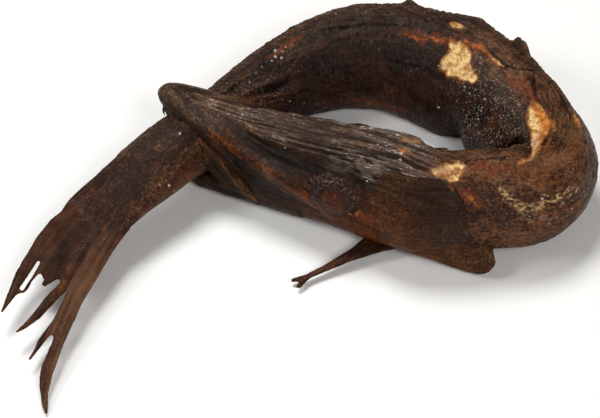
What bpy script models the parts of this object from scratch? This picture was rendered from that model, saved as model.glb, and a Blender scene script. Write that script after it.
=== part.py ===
"""Whole smoked fish, bent into a ring and dried with its tail held across its jaws.

The fish lies on its belly. It is one dried piece, so trunk, head, jaws, gill covers,
fins and tail are joined into a single solid. +Z is up and the snout points to -X.
All lengths below are millimetres; the scene itself is in metres.
"""

import math

import bmesh
import bpy
import numpy as np
from mathutils import Matrix, Vector

MM = 0.001

# Middle of the floor area the fish covers, in the measures below. It becomes the origin.
FLOOR_MIDDLE = (3.1, 8.6)
FLOOR_CUT = 260.0

# Resolution of the lofts: rings along a form, and points round each ring.
TRUNK_RINGS = 76
TRUNK_SIDES = 24
HEAD_RINGS = 32
HEAD_SIDES = 24
JAW_RINGS = 14
JAW_SIDES = 16
GILL_RINGS = 13

# Spine of the trunk from inside the head, round the bend, to the root of the tail fin.
# x, y, z of the spine, then half sizes towards the fish's left flank (outside the ring),
# right flank (inside the ring), back and belly, and how far the back leans outwards.
TRUNK_STATIONS = (
    (28.0, 7.0, 18.5, 15.0, 15.0, 16.0, 17.0, 0.0),
    (47.0, 0.8, 18.8, 18.2, 17.0, 19.5, 19.2, 6.0),
    (66.0, 1.4, 18.9, 17.0, 17.5, 20.0, 19.4, 14.0),
    (82.5, 7.0, 18.8, 20.0, 16.0, 19.0, 19.4, 20.0),
    (90.5, 20.0, 18.6, 19.8, 16.0, 18.4, 19.6, 26.0),
    (86.5, 37.5, 18.5, 18.2, 18.5, 18.8, 22.0, 32.0),
    (77.0, 54.5, 18.3, 17.5, 19.5, 19.8, 24.4, 36.0),
    (63.0, 69.5, 18.2, 17.2, 18.5, 20.4, 25.0, 42.0),
    (43.0, 80.5, 18.0, 16.8, 17.0, 20.0, 22.8, 46.0),
    (19.5, 81.5, 17.7, 16.0, 16.5, 19.2, 20.2, 50.0),
    (-2.0, 72.4, 17.0, 14.5, 15.0, 15.8, 17.4, 54.0),
    (-19.5, 58.5, 17.0, 12.5, 13.5, 14.0, 14.6, 60.0),
    (-31.0, 44.6, 18.0, 11.5, 12.0, 12.7, 12.9, 66.0),
    (-49.5, 23.0, 18.6, 10.5, 11.0, 12.4, 12.3, 74.0),
    (-63.0, 7.0, 17.5, 6.5, 6.5, 12.4, 12.0, 80.0),
    (-72.5, -4.0, 15.3, 2.4, 2.4, 13.2, 12.4, 84.0),
    (-76.5, -11.0, 14.0, 1.0, 1.0, 12.0, 10.5, 84.0),
)
BACK_SHARPNESS = 2.0
BELLY_SHARPNESS = 2.25

# Dried stumps of the back fin: share of the way along the trunk, and height.
BACK_FIN = (
    (0.235, -1.2), (0.25, 0.8), (0.275, 1.4), (0.30, 0.9), (0.32, 0.3), (0.343, 0.6),
    (0.357, 2.9), (0.368, 0.9), (0.39, 0.6), (0.412, 1.2), (0.425, 2.4), (0.44, 1.6),
    (0.46, 0.8), (0.485, 0.5), (0.502, 1.4), (0.513, 0.5), (0.54, 0.4), (0.57, 0.7),
    (0.61, 0.2), (0.65, -1.2),
)
BACK_FIN_THICKNESS = 1.6
BACK_FIN_ROOT = 3.0

# The head is straight and has a frame of its own: its origin is under the snout, its X
# axis runs back to the gills, its Y axis points to the fish's right and Z is up.
HEAD_POSITION = (-50.5, 43.0)
HEAD_TURN = math.radians(-24.1)
# Distance behind the snout, half width, and the lowest and highest points.
# In front of the corner of the mouth the lowest point is the edge of the upper jaw.
HEAD_STATIONS = (
    (-1.5, 2.0, 29.5, 34.5),
    (3.0, 5.5, 26.5, 36.4),
    (9.0, 8.0, 25.0, 36.0),
    (17.0, 10.3, 22.5, 34.6),
    (26.0, 11.8, 17.5, 34.0),
    (36.0, 12.8, 9.0, 34.2),
    (45.0, 13.8, 2.6, 34.9),
    (55.0, 15.2, -0.4, 36.0),
    (68.0, 17.2, -0.6, 37.6),
    (82.0, 18.8, -0.6, 39.2),
    (96.0, 19.4, -0.6, 39.8),
    (108.0, 17.6, 1.0, 38.0),
    (116.0, 12.0, 8.0, 32.0),
)
HEAD_SHARPNESS = 2.15

# Lower jaw, under the tail: the same columns.
JAW_STATIONS = (
    (-2.5, 2.0, 1.5, 4.5),
    (2.0, 5.0, 0.0, 7.0),
    (10.0, 8.5, -0.4, 8.2),
    (20.0, 11.0, -0.5, 10.5),
    (30.0, 12.0, -0.6, 15.0),
    (45.0, 12.8, -0.6, 21.0),
    (62.0, 13.5, -0.6, 24.0),
)

# Ridges of bone on each side of the head: the side bone of the upper jaw, which crosses
# in front of the tail, and the ridge under the eye.
# Distance behind the snout, distance to the side, height, radius.
UPPER_JAW_BONE = (
    (-1.0, 0.5, 31.5, 1.6),
    (4.5, 4.6, 28.8, 1.9),
    (12.0, 9.6, 27.6, 2.0),
    (19.5, 12.6, 24.6, 2.2),
    (25.5, 13.4, 19.8, 2.3),
    (31.0, 13.0, 14.5, 2.3),
    (37.0, 12.2, 9.0, 2.4),
    (44.0, 11.4, 4.5, 2.4),
)
EYE_RIDGE = (
    (12.0, 7.5, 30.0, 1.5),
    (24.0, 10.6, 30.6, 1.9),
    (36.5, 12.4, 25.5, 2.2),
    (47.5, 14.2, 18.5, 2.4),
    (60.0, 15.4, 13.0, 2.2),
    (70.0, 15.6, 10.0, 1.4),
)
EYE_POSITION = (74.0, 15.0, 25.5)
EYE_HALF_SIZES = (7.0, 3.6, 5.0)

# Gill covers: rear edge behind the snout, by angle round the head from the side (0)
# towards the back (+) and the belly (-). The lower corner stands off the trunk.
GILL_COVER_FRONT = 80.0
LEFT_GILL_EDGE = (
    (-66.0, 120.0), (-60.0, 130.0), (-50.0, 134.0), (-36.0, 134.5), (-12.0, 132.0),
    (20.0, 128.0), (35.0, 123.0), (50.0, 118.0), (62.0, 112.0),
)
RIGHT_GILL_EDGE = (
    (-66.0, 106.0), (-58.0, 113.0), (-46.0, 116.0), (-34.0, 116.0), (-16.0, 114.0),
    (0.0, 111.0), (20.0, 105.0),
)
# The covers bend with the trunk, towards the fish's right: distance behind the snout and
# sideways shift. The shift fades out between these two angles, on the belly side.
GILL_COVER_BEND = (
    (100.0, 0.0), (106.0, 1.3), (114.0, 4.5), (124.0, 9.8), (132.0, 14.5),
)
GILL_BEND_ANGLES = (-60.0, -20.0)
GILL_COVER_STAND = 1.2
# The free lower corner is thin; where a cover lies on the flesh it reaches well into it.
GILL_FREE_THICKNESS = 1.6
GILL_ROOTED_THICKNESS = 4.6
GILL_FREE_ANGLES = (-42.0, -18.0)

# Tail fin: a thin flat plate. The outline and the slot worn through it are on the fin's
# own plane: along the fin from its root, and across it towards the fish's left.
FIN_ROOT = (-72.4, -4.1, 15.0)
FIN_TIP = (-84.7, -83.1, 1.1)
FIN_LEFT_TIP = (-103.3, -45.8, 9.0)
FIN_OUTLINE = (
    (-6.0, 10.0), (0.3, 13.6), (8.8, 17.8), (19.4, 21.2), (34.2, 23.0), (46.3, 24.6),
    (37.7, 20.2), (35.7, 18.3), (32.0, 14.2), (29.8, 13.2), (32.4, 11.9), (29.1, 8.4),
    (30.6, 8.0), (37.6, 10.7), (45.5, 13.1), (52.4, 17.1), (43.7, 10.4), (32.6, 5.0),
    (34.4, 3.2), (42.9, 6.0), (53.6, 8.8), (62.0, 10.3), (55.4, 7.7), (51.3, 5.9),
    (52.0, 4.4), (56.1, 4.7), (65.0, 5.1), (72.6, 4.0), (81.2, 0.0), (72.1, 1.1),
    (60.1, 0.4), (45.8, -0.9), (34.2, -2.9), (22.7, -5.8), (11.5, -8.8), (-0.2, -12.7),
    (-6.0, -10.0),
)
FIN_SLOT = ((22.7, 16.6), (26.5, 15.8), (31.0, 17.5), (34.0, 20.0), (29.0, 19.0))
FIN_THICKNESS = 1.7

# Belly fins: thin fans that narrow to a stalk with a forked end. Outline along the fin
# from its root, and across it.
BELLY_FIN_OUTLINE = (
    (-9.0, -8.5), (-3.5, -6.8), (3.0, -3.4), (10.0, -1.9), (20.0, -1.2), (30.0, -1.1),
    (32.0, -1.6), (35.4, -2.9), (36.0, -1.6), (34.4, -0.3), (34.4, 0.5), (36.4, 1.6),
    (35.6, 2.9), (32.4, 1.9), (30.0, 1.1), (20.0, 1.2), (11.0, 1.8), (6.0, 3.0),
    (3.5, 6.5), (-7.0, 8.5),
)
BELLY_FIN_THICKNESS = 1.5
# Where each one is rooted, and the point it aims at.
LEFT_BELLY_FIN = ((27.7, -4.6, 5.0), (-0.4, -23.4, 2.0))
RIGHT_BELLY_FIN = ((38.0, 19.5, 5.0), (26.0, 45.5, 1.6))

SKIN_COLOUR = (0.060, 0.034, 0.022, 1.0)
SKIN_ROUGHNESS = 0.5


def closed_curve(half_width, top, bottom, sides, top_power, bottom_power):
    """Rounded outline as (sideways, vertical) offsets, anticlockwise."""
    angles = np.linspace(0.0, 2.0 * math.pi, sides, endpoint=False)
    c, s = np.cos(angles), np.sin(angles)
    power = np.where(s > 0, 2.0 / top_power, 2.0 / bottom_power)
    sideways = half_width * np.sign(c) * np.abs(c) ** power
    vertical = np.where(s > 0, top, bottom) * np.sign(s) * np.abs(s) ** power
    return sideways, vertical


def smooth_rows(stations, count, key_columns):
    """Stations resampled at even steps along a smooth curve through them.

    The first key_columns columns are the position that the steps are measured along.
    """
    rows = np.asarray(stations, float)
    steps = np.linalg.norm(np.diff(rows[:, :key_columns], axis=0), axis=1)
    knots = np.concatenate(([0.0], np.cumsum(steps)))
    slopes = np.gradient(rows, knots, axis=0)
    at = np.linspace(0.0, knots[-1], count)
    cell = np.clip(np.searchsorted(knots, at, side="right") - 1, 0, len(knots) - 2)
    width = (knots[cell + 1] - knots[cell])[:, None]
    u = (at - knots[cell])[:, None] / width
    start = (2 * u**3 - 3 * u**2 + 1) * rows[cell]
    start_slope = (u**3 - 2 * u**2 + u) * width * slopes[cell]
    end = (3 * u**2 - 2 * u**3) * rows[cell + 1]
    end_slope = (u**3 - u**2) * width * slopes[cell + 1]
    return start + start_slope + end + end_slope


def mesh_object(name, mesh):
    bmesh.ops.recalc_face_normals(mesh, faces=mesh.faces)
    data = bpy.data.meshes.new(name)
    mesh.to_mesh(data)
    mesh.free()
    return bpy.data.objects.new(name, data)


def loft_object(name, rings):
    """A closed solid from rings of points in millimetres, with flat end caps."""
    mesh = bmesh.new()
    verts = [[mesh.verts.new(Vector(p) * MM) for p in ring] for ring in rings]
    sides = len(verts[0])
    for here, there in zip(verts, verts[1:]):
        for j in range(sides):
            k = (j + 1) % sides
            mesh.faces.new((here[j], here[k], there[k], there[j]))
    mesh.faces.new(verts[0])
    mesh.faces.new(verts[-1])
    return mesh_object(name, mesh)


def curve_to_mesh(name, curve):
    """The closed mesh of a curve, with its caps joined to its sides."""
    source = bpy.data.objects.new(name, curve)
    bpy.context.scene.collection.objects.link(source)
    evaluated = source.evaluated_get(bpy.context.evaluated_depsgraph_get())
    data = bpy.data.meshes.new_from_object(evaluated)
    bpy.data.objects.remove(source)
    mesh = bmesh.new()
    mesh.from_mesh(data)
    bpy.data.meshes.remove(data)
    bmesh.ops.remove_doubles(mesh, verts=mesh.verts, dist=0.00002)
    return mesh_object(name, mesh)


def bone_ridge(name, stations, side):
    """A tapering round ridge; side is -1 for the fish's left and 1 for its right."""
    curve = bpy.data.curves.new(name, "CURVE")
    curve.dimensions = "3D"
    curve.bevel_depth = MM
    curve.bevel_resolution = 2
    curve.use_fill_caps = True
    rows = smooth_rows(stations, 2 * len(stations), 3)
    spline = curve.splines.new("POLY")
    spline.points.add(len(rows) - 1)
    for point, (behind, out, height, radius) in zip(spline.points, rows):
        point.co = (behind * MM, side * out * MM, height * MM, 1.0)
        point.radius = radius
    return curve_to_mesh(name, curve)


def flat_plate(name, outlines, thickness):
    """A flat plate in its own XY plane; outlines after the first are holes."""
    curve = bpy.data.curves.new(name, "CURVE")
    curve.dimensions = "2D"
    curve.fill_mode = "BOTH"
    curve.extrude = 0.5 * thickness * MM
    for outline in outlines:
        spline = curve.splines.new("POLY")
        spline.use_cyclic_u = True
        spline.points.add(len(outline) - 1)
        for point, (along, across) in zip(spline.points, outline):
            point.co = (along * MM, across * MM, 0.0, 1.0)
    return curve_to_mesh(name, curve)


def plane_frame(root, ahead, sideways):
    """Placement with X from root towards ahead and Y on the side of sideways."""
    root, ahead, sideways = Vector(root), Vector(ahead), Vector(sideways)
    x_axis = (ahead - root).normalized()
    z_axis = x_axis.cross(sideways - root).normalized()
    y_axis = z_axis.cross(x_axis)
    turn = Matrix((x_axis, y_axis, z_axis)).transposed()
    return Matrix.Translation(root * MM) @ turn.to_4x4()


def trunk_frame(count):
    """Station rows of the trunk with its flank and back directions."""
    rows = smooth_rows(TRUNK_STATIONS, count, 3)
    along = np.gradient(rows[:, :3], axis=0)
    along /= np.linalg.norm(along, axis=1, keepdims=True)
    outwards = np.cross(along, (0.0, 0.0, 1.0))
    outwards /= np.linalg.norm(outwards, axis=1, keepdims=True)
    upwards = np.cross(outwards, along)
    lean = np.radians(rows[:, 7:8])
    flank = outwards * np.cos(lean) - upwards * np.sin(lean)
    back = upwards * np.cos(lean) + outwards * np.sin(lean)
    return rows, flank, back


def make_trunk():
    rings = []
    for row, flank, back in zip(*trunk_frame(TRUNK_RINGS)):
        left, right, top, bottom = row[3:7]
        sideways, vertical = closed_curve(
            1.0, top, bottom, TRUNK_SIDES, BACK_SHARPNESS, BELLY_SHARPNESS
        )
        sideways = sideways * np.where(sideways > 0, left, right)
        rings.append(row[:3] + sideways[:, None] * flank + vertical[:, None] * back)
    return loft_object("trunk", rings)


def make_back_fin():
    """A low ragged ridge along the back: what is left of the back fin."""
    samples = 400
    rows, flank, back = trunk_frame(samples)
    rings = []
    for share, height in BACK_FIN:
        i = int(share * (samples - 1))
        top = rows[i, :3] + (rows[i, 5] + height) * back[i]
        root = rows[i, :3] + (rows[i, 5] - BACK_FIN_ROOT) * back[i]
        half = 0.5 * BACK_FIN_THICKNESS * flank[i]
        rings.append((root - 1.6 * half, root + 1.6 * half, top + half, top - half))
    return loft_object("back_fin", rings)


def make_head_loft(name, stations, count, sides):
    rings = []
    for behind, half_width, low, high in smooth_rows(stations, count, 1):
        half = 0.5 * (high - low)
        sideways, vertical = closed_curve(
            half_width, half, half, sides, HEAD_SHARPNESS, HEAD_SHARPNESS
        )
        behind = np.full(sides, behind)
        rings.append(np.column_stack((behind, sideways, low + half + vertical)))
    return loft_object(name, rings)


def make_eye(side):
    mesh = bmesh.new()
    bmesh.ops.create_uvsphere(mesh, u_segments=14, v_segments=10, radius=MM)
    eye = mesh_object("eye", mesh)
    behind, out, height = EYE_POSITION
    eye.location = (behind * MM, side * out * MM, height * MM)
    eye.scale = EYE_HALF_SIZES
    return eye


def make_gill_cover(name, rear_edge, side):
    """A curved plate that follows the side of the head and runs back over the trunk."""
    head = np.asarray(HEAD_STATIONS)
    edge = np.asarray(rear_edge)
    bend = np.asarray(GILL_COVER_BEND)
    columns = np.linspace(0.0, 1.0, 9)
    # The front edge starts below the skin, so that the plate grows out of the head.
    sunk = np.interp(columns, (0.0, 0.45, 1.0), (-2.4, 0.0, 0.0))
    power = 2.0 / HEAD_SHARPNESS
    rings = []
    for angle in np.linspace(edge[0, 0], edge[-1, 0], GILL_RINGS):
        rear = np.interp(angle, edge[:, 0], edge[:, 1])
        behind = GILL_COVER_FRONT + (rear - GILL_COVER_FRONT) * columns
        measured_at = np.minimum(behind, 98.0)
        wide = np.interp(measured_at, head[:, 0], head[:, 1])
        low = np.interp(measured_at, head[:, 0], head[:, 2])
        high = np.interp(measured_at, head[:, 0], head[:, 3])
        shift = np.interp(behind, bend[:, 0], bend[:, 1])
        shift = shift * np.interp(angle, GILL_BEND_ANGLES, (0.0, 1.0))
        c, s = math.cos(math.radians(angle)), math.sin(math.radians(angle))
        rear_thickness = np.interp(
            angle, GILL_FREE_ANGLES, (GILL_FREE_THICKNESS, GILL_ROOTED_THICKNESS)
        )
        thickness = np.interp(columns, (0.6, 0.85), (GILL_ROOTED_THICKNESS, rear_thickness))
        faces = []
        for stand in (GILL_COVER_STAND, GILL_COVER_STAND - thickness):
            out = (wide + sunk + stand) * c**power
            half = 0.5 * (high - low) + sunk + stand
            height = 0.5 * (high + low) + half * math.copysign(abs(s) ** power, s)
            faces.append(np.column_stack((behind, side * out + shift, height)))
        rings.append(np.vstack((faces[0], faces[1][::-1])))
    return loft_object(name, rings)


def skin_material():
    skin = bpy.data.materials.new("smoked_skin")
    skin.use_nodes = True
    shader = skin.node_tree.nodes["Principled BSDF"]
    shader.inputs["Base Color"].default_value = SKIN_COLOUR
    shader.inputs["Roughness"].default_value = SKIN_ROUGHNESS
    return skin


def boolean(target, other, operation):
    modifier = target.modifiers.new(other.name, "BOOLEAN")
    modifier.operation = operation
    modifier.solver = "EXACT"
    modifier.object = other


def build():
    for obj in list(bpy.data.objects):
        bpy.data.objects.remove(obj)
    fish_collection = bpy.data.collections.new("smoked_fish")
    cutter_collection = bpy.data.collections.new("cutters")
    for collection in (fish_collection, cutter_collection):
        bpy.context.scene.collection.children.link(collection)

    whole = bpy.data.objects.new("fish_frame", None)
    whole.location = (-FLOOR_MIDDLE[0] * MM, -FLOOR_MIDDLE[1] * MM, 0.0)
    head_frame = bpy.data.objects.new("head_frame", None)
    head_frame.location = (HEAD_POSITION[0] * MM, HEAD_POSITION[1] * MM, 0.0)
    head_frame.rotation_euler = (0.0, 0.0, HEAD_TURN)
    head_frame.parent = whole

    head_pieces = [
        make_head_loft("head", HEAD_STATIONS, HEAD_RINGS, HEAD_SIDES),
        make_head_loft("lower_jaw", JAW_STATIONS, JAW_RINGS, JAW_SIDES),
        make_gill_cover("left_gill_cover", LEFT_GILL_EDGE, -1),
        make_gill_cover("right_gill_cover", RIGHT_GILL_EDGE, 1),
    ]
    for side in (-1, 1):
        head_pieces.append(bone_ridge("upper_jaw_bone", UPPER_JAW_BONE, side))
        head_pieces.append(bone_ridge("eye_ridge", EYE_RIDGE, side))
        head_pieces.append(make_eye(side))
    for piece in head_pieces:
        piece.parent = head_frame

    tail_fin = flat_plate("tail_fin", (FIN_OUTLINE, FIN_SLOT), FIN_THICKNESS)
    tail_fin.matrix_local = plane_frame(FIN_ROOT, FIN_TIP, FIN_LEFT_TIP)
    trunk_pieces = [tail_fin, make_back_fin()]
    for name, (root, tip) in (("left", LEFT_BELLY_FIN), ("right", RIGHT_BELLY_FIN)):
        fin = flat_plate(name + "_belly_fin", (BELLY_FIN_OUTLINE,), BELLY_FIN_THICKNESS)
        level = (root[0] + tip[1] - root[1], root[1] - tip[0] + root[0], root[2])
        fin.matrix_local = plane_frame(root, tip, level)
        trunk_pieces.append(fin)

    # The belly is flattened where the fish dried on its tray.
    mesh = bmesh.new()
    bmesh.ops.create_cube(mesh, size=FLOOR_CUT * MM)
    floor = mesh_object("floor_cut", mesh)
    floor.location = (0.0, 0.0, -0.5 * FLOOR_CUT * MM)

    fish = make_trunk()
    fish.name = "smoked_fish"
    fish.data.name = "smoked_fish"
    for piece in (fish, floor, *trunk_pieces):
        piece.parent = whole

    fish_collection.objects.link(whole)
    fish_collection.objects.link(head_frame)
    fish_collection.objects.link(fish)
    for piece in (*head_pieces, *trunk_pieces):
        boolean(fish, piece, "UNION")
    boolean(fish, floor, "DIFFERENCE")
    for piece in (*head_pieces, *trunk_pieces, floor):
        cutter_collection.objects.link(piece)
        piece.hide_render = True
        piece.display_type = "WIRE"
    fish.data.shade_smooth()
    fish.data.materials.append(skin_material())


build()
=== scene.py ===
import math

import bmesh
import bpy
import numpy as np
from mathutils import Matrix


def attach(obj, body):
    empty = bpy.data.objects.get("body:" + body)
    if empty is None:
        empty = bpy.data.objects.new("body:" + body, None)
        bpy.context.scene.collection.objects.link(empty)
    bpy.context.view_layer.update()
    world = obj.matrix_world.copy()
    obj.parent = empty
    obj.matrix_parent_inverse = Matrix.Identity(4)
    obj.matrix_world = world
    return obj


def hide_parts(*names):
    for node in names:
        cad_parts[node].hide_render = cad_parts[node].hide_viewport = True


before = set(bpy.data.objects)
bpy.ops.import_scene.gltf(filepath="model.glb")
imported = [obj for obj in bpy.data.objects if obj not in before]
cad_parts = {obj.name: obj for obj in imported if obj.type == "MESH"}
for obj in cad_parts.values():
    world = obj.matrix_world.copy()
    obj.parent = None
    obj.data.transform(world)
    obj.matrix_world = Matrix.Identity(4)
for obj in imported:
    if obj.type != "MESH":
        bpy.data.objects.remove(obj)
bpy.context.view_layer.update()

# ----------------------------------------
# Studio table. A flat pale matt board under the fish, one broad soft light above and
# behind it, a weaker fill from the front, and a camera looking half down.
# ----------------------------------------
MM = 0.001
VIEW_DROP = math.radians(45)
VIEW_DISTANCE = 0.700
VIEW_AIM = (-0.0031, -0.0086, 0.0150)
VIEW_LENS = 116.67


def linear(hex_colour):
    """Linear RGBA from an sRGB hex colour."""
    channels = [int(hex_colour[i : i + 2], 16) / 255 for i in (1, 3, 5)]
    bent = [c / 12.92 if c <= 0.04045 else ((c + 0.055) / 1.055) ** 2.4 for c in channels]
    return (*bent, 1)


def add_node(tree, kind, inputs=(), **settings):
    """A node with its settings; its inputs are set, or linked where a socket is given."""
    node = tree.nodes.new(kind)
    for name, value in settings.items():
        setattr(node, name, value)
    for key, value in dict(inputs).items():
        if isinstance(value, bpy.types.NodeSocket):
            tree.links.new(value, node.inputs[key])
        else:
            node.inputs[key].default_value = value
    return node


def new_material(name):
    """An empty material with its Principled shader linked to the output."""
    material = bpy.data.materials.new(name)
    material.use_nodes = True
    return material, material.node_tree, material.node_tree.nodes["Principled BSDF"]


camera = bpy.data.objects.new("camera", bpy.data.cameras.new("camera"))
camera.data.lens = VIEW_LENS
camera.data.clip_start = 0.01
camera.location = (
    VIEW_AIM[0],
    VIEW_AIM[1] - VIEW_DISTANCE * math.cos(VIEW_DROP),
    VIEW_AIM[2] + VIEW_DISTANCE * math.sin(VIEW_DROP),
)
camera.rotation_euler = (0.5 * math.pi - VIEW_DROP, 0, 0)
bpy.context.scene.collection.objects.link(camera)
bpy.context.scene.camera = camera
bpy.context.scene.view_settings.view_transform = "Standard"

table = bmesh.new()
bmesh.ops.create_grid(table, x_segments=1, y_segments=1, size=6)
table_mesh = bpy.data.meshes.new("table_top")
table.to_mesh(table_mesh)
table.free()
table_top = bpy.data.objects.new("table_top", table_mesh)
table_top.location = (0, 0, -0.0003)
bpy.context.scene.collection.objects.link(table_top)
# Matt white board: almost no gloss, so that it stays an even pale field.
board, _, board_shader = new_material("matt_white_board")
board_shader.inputs["Base Color"].default_value = linear("#f2f1ef")
board_shader.inputs["Roughness"].default_value = 0.9
board_shader.inputs["Specular IOR Level"].default_value = 0.1
table_mesh.materials.append(board)

for name, place, aim, size, power in (
    ("soft_light_top", (-0.25, 0.45, 1.15), (0, 0, 0), 0.50, 11),
    ("soft_light_side", (-0.95, -0.20, 0.80), (0, 0, 0), 0.45, 5),
    ("soft_light_front", (0.45, -1.00, 1.00), (0, 0, 0), 0.60, 9),
):
    light = bpy.data.lights.new(name, "AREA")
    light.shape = "DISK"
    light.size = size
    light.energy = power
    lamp = bpy.data.objects.new(name, light)
    lamp.location = place
    reach = np.subtract(aim, place)
    heading = math.atan2(reach[1], reach[0])
    fall = math.atan2(-reach[2], math.hypot(reach[0], reach[1]))
    lamp.rotation_euler = (0.5 * math.pi - fall, 0, heading - 0.5 * math.pi)
    bpy.context.scene.collection.objects.link(lamp)

room = bpy.data.worlds.new("white_room")
room.use_nodes = True
room.node_tree.nodes["Background"].inputs["Color"].default_value = linear("#faf5ee")
room.node_tree.nodes["Background"].inputs["Strength"].default_value = 0.14
bpy.context.scene.world = room

# ----------------------------------------
# Skin of the whole fish, snout to tail root. Real smoked skin has shrunk onto the
# flesh: long wrinkles on the back and forehead, close cross wrinkles inside the bend,
# torn places where pale flesh shows. One smooth tube, cut into three lengths.
# ----------------------------------------
FLOOR_MIDDLE = np.array((3.1, 8.6, 0))
FLOOR_GAP = 0.02
SKIN_STEP = 0.42
SKIN_SIDES = 264

# The head's own frame: under the snout, its axis turned clockwise from +X.
HEAD_POSITION = np.array((-50.5, 43, 0))
HEAD_TURN = math.radians(-24.1)
# How full its round cross section is: 1 is an ellipse, less is boxier.
HEAD_FULLNESS = 2 / 2.15
# Distance behind the snout, half width, lowest and highest point.
HEAD_STATIONS = (
    (-1.5, 1.4, 31.4, 34.4),
    (0, 3.3, 29.8, 36),
    (3, 5.2, 28, 36.8),
    (9, 8, 26, 36),
    (17, 10.3, 22.5, 34.6),
    (26, 11.8, 17.5, 34),
    (36, 13.2, 9, 34.2),
    (45, 14.6, 2.6, 34.9),
    (55, 16, -0.4, 36),
    (68, 17.7, -0.6, 37.6),
    (82, 18.8, -0.6, 39.2),
    (94, 19.3, -0.6, 39.6),
)
# Trunk: x, y, z of the spine, half sizes to the left flank (outside the ring), right
# flank, back and belly, and how far the back leans outwards.
TRUNK_STATIONS = (
    (48, 0.6, 19, 18.6, 17.6, 19.8, 19.4, 6),
    (66, 1.4, 18.9, 17, 17.5, 20, 19.4, 14),
    (82.5, 7, 18.8, 20, 16, 19, 19.4, 20),
    (90.5, 20, 18.6, 19.8, 16, 18.4, 19.6, 26),
    (86.5, 37.5, 18.5, 18.2, 18.5, 18.8, 22, 32),
    (77, 54.5, 18.3, 17.5, 19.5, 19.8, 24.4, 36),
    (63, 69.5, 18.2, 17.2, 18.5, 20.4, 25, 42),
    (43, 80.5, 18, 16.8, 17, 20, 22.8, 46),
    (19.5, 81.5, 17.7, 16, 16.5, 19.2, 20.2, 50),
    (-2, 72.4, 17, 14.5, 15, 15.8, 17.4, 54),
    (-19.5, 58.5, 17, 12.5, 13.5, 14, 14.6, 60),
    (-31, 44.6, 18, 11.5, 12, 12.7, 12.9, 66),
    (-49.5, 23, 18.6, 10.5, 11, 12.4, 12.3, 74),
    (-63, 7, 17.5, 5.6, 5.6, 12.4, 12, 80),
    (-72.5, -4, 15.3, 1.5, 1.5, 13.2, 12.4, 84),
    (-76.5, -11, 14, 0.25, 0.25, 12, 10.5, 84),
)

noise_source = np.random.default_rng(11)
NOISE_ORDER = noise_source.permutation(256)
NOISE_SLOPES = noise_source.normal(size=(256, 3))
NOISE_SLOPES /= np.linalg.norm(NOISE_SLOPES, axis=1, keepdims=True)


def ripple(x, y, z, seed=0):
    """Smooth noise between about -1 and 1, with one swell to a unit of x, y and z."""
    x, y, z = np.broadcast_arrays(x, y, z)
    points = np.stack([a.ravel() for a in (x, y, z)], axis=1) + 17.3 * seed
    cell = np.floor(points).astype(np.int64)
    part = points - cell
    ease = part**3 * (part * (part * 6 - 15) + 10)
    total = np.zeros(len(points))
    for corner in range(8):
        step = np.array((corner & 1, corner >> 1 & 1, corner >> 2))
        at = cell + step
        key = NOISE_ORDER[at[:, 0] & 255]
        key = NOISE_ORDER[(key + at[:, 1]) & 255]
        key = NOISE_ORDER[(key + at[:, 2]) & 255]
        share = np.prod(np.where(step, ease, 1 - ease), axis=1)
        total += share * np.einsum("ij,ij->i", part - step, NOISE_SLOPES[key])
    return (1.6 * total).reshape(x.shape)


def crests(x, y, z, seed=0):
    """The same noise folded into sharp crests: 1 on a crest, about -0.5 between them."""
    return 1 - 2.4 * np.abs(ripple(x, y, z, seed))


def fade(value, start, end):
    """0 before start, 1 after end, smooth between; the other way round if end < start."""
    t = np.clip((value - start) / (end - start), 0, 1)
    return t * t * (3 - 2 * t)


def unit(vectors):
    """The same directions, one unit long."""
    return vectors / np.linalg.norm(vectors, axis=-1, keepdims=True)


def all_round(count):
    """Angles of a full turn in radians."""
    return np.linspace(0, 2 * math.pi, count, endpoint=False)


def bulge(value, power):
    """A sine or cosine made fuller (power below 1) or leaner, with its sign kept."""
    return np.sign(value) * np.abs(value) ** power


def joined(x, y, z):
    """Grids of three measures joined to a grid of points."""
    return np.stack(np.broadcast_arrays(x, y, z), axis=-1)


def hump(value, start, top, top_end, end):
    """0 outside start and end, 1 between top and top_end, smooth between."""
    return fade(value, start, top) * fade(value, end, top_end)


def smooth_rows(stations, at=None, count=2):
    """Rows read from a smooth curve through the stations, and how far along each is."""
    rows = np.asarray(stations, float)
    steps = np.linalg.norm(np.diff(rows[:, :3], axis=0), axis=1)
    knots = np.concatenate(([0], np.cumsum(steps)))
    slopes = np.gradient(rows, knots, axis=0)
    if at is None:
        at = np.linspace(0, knots[-1], count)
    cell = np.clip(np.searchsorted(knots, at, side="right") - 1, 0, len(knots) - 2)
    width = (knots[cell + 1] - knots[cell])[:, None]
    u = (at - knots[cell])[:, None] / width
    read = (2 * u**3 - 3 * u**2 + 1) * rows[cell] + (3 * u**2 - 2 * u**3) * rows[cell + 1]
    read += width * ((u**3 - 2 * u**2 + u) * slopes[cell] + (u**3 - u**2) * slopes[cell + 1])
    return at, read


def head_point(behind, left, height):
    """Millimetres in the model's frame from head measures."""
    c, s = math.cos(HEAD_TURN), math.sin(HEAD_TURN)
    x = HEAD_POSITION[0] + behind * c + left * s - FLOOR_MIDDLE[0]
    y = HEAD_POSITION[1] + behind * s - left * c - FLOOR_MIDDLE[1]
    return joined(x, y, height)


def body_stations():
    """One list of rows for head and trunk, all measured as the trunk's are."""
    rows = []
    for behind, half_width, low, high in HEAD_STATIONS:
        half = 0.5 * (high - low)
        centre = head_point(behind, 0, low + half)
        rows.append((*centre, half_width, half_width, half, half, 0))
    trunk = np.array(TRUNK_STATIONS)
    trunk[:, :3] -= FLOOR_MIDDLE
    return np.vstack((rows, trunk))


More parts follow.
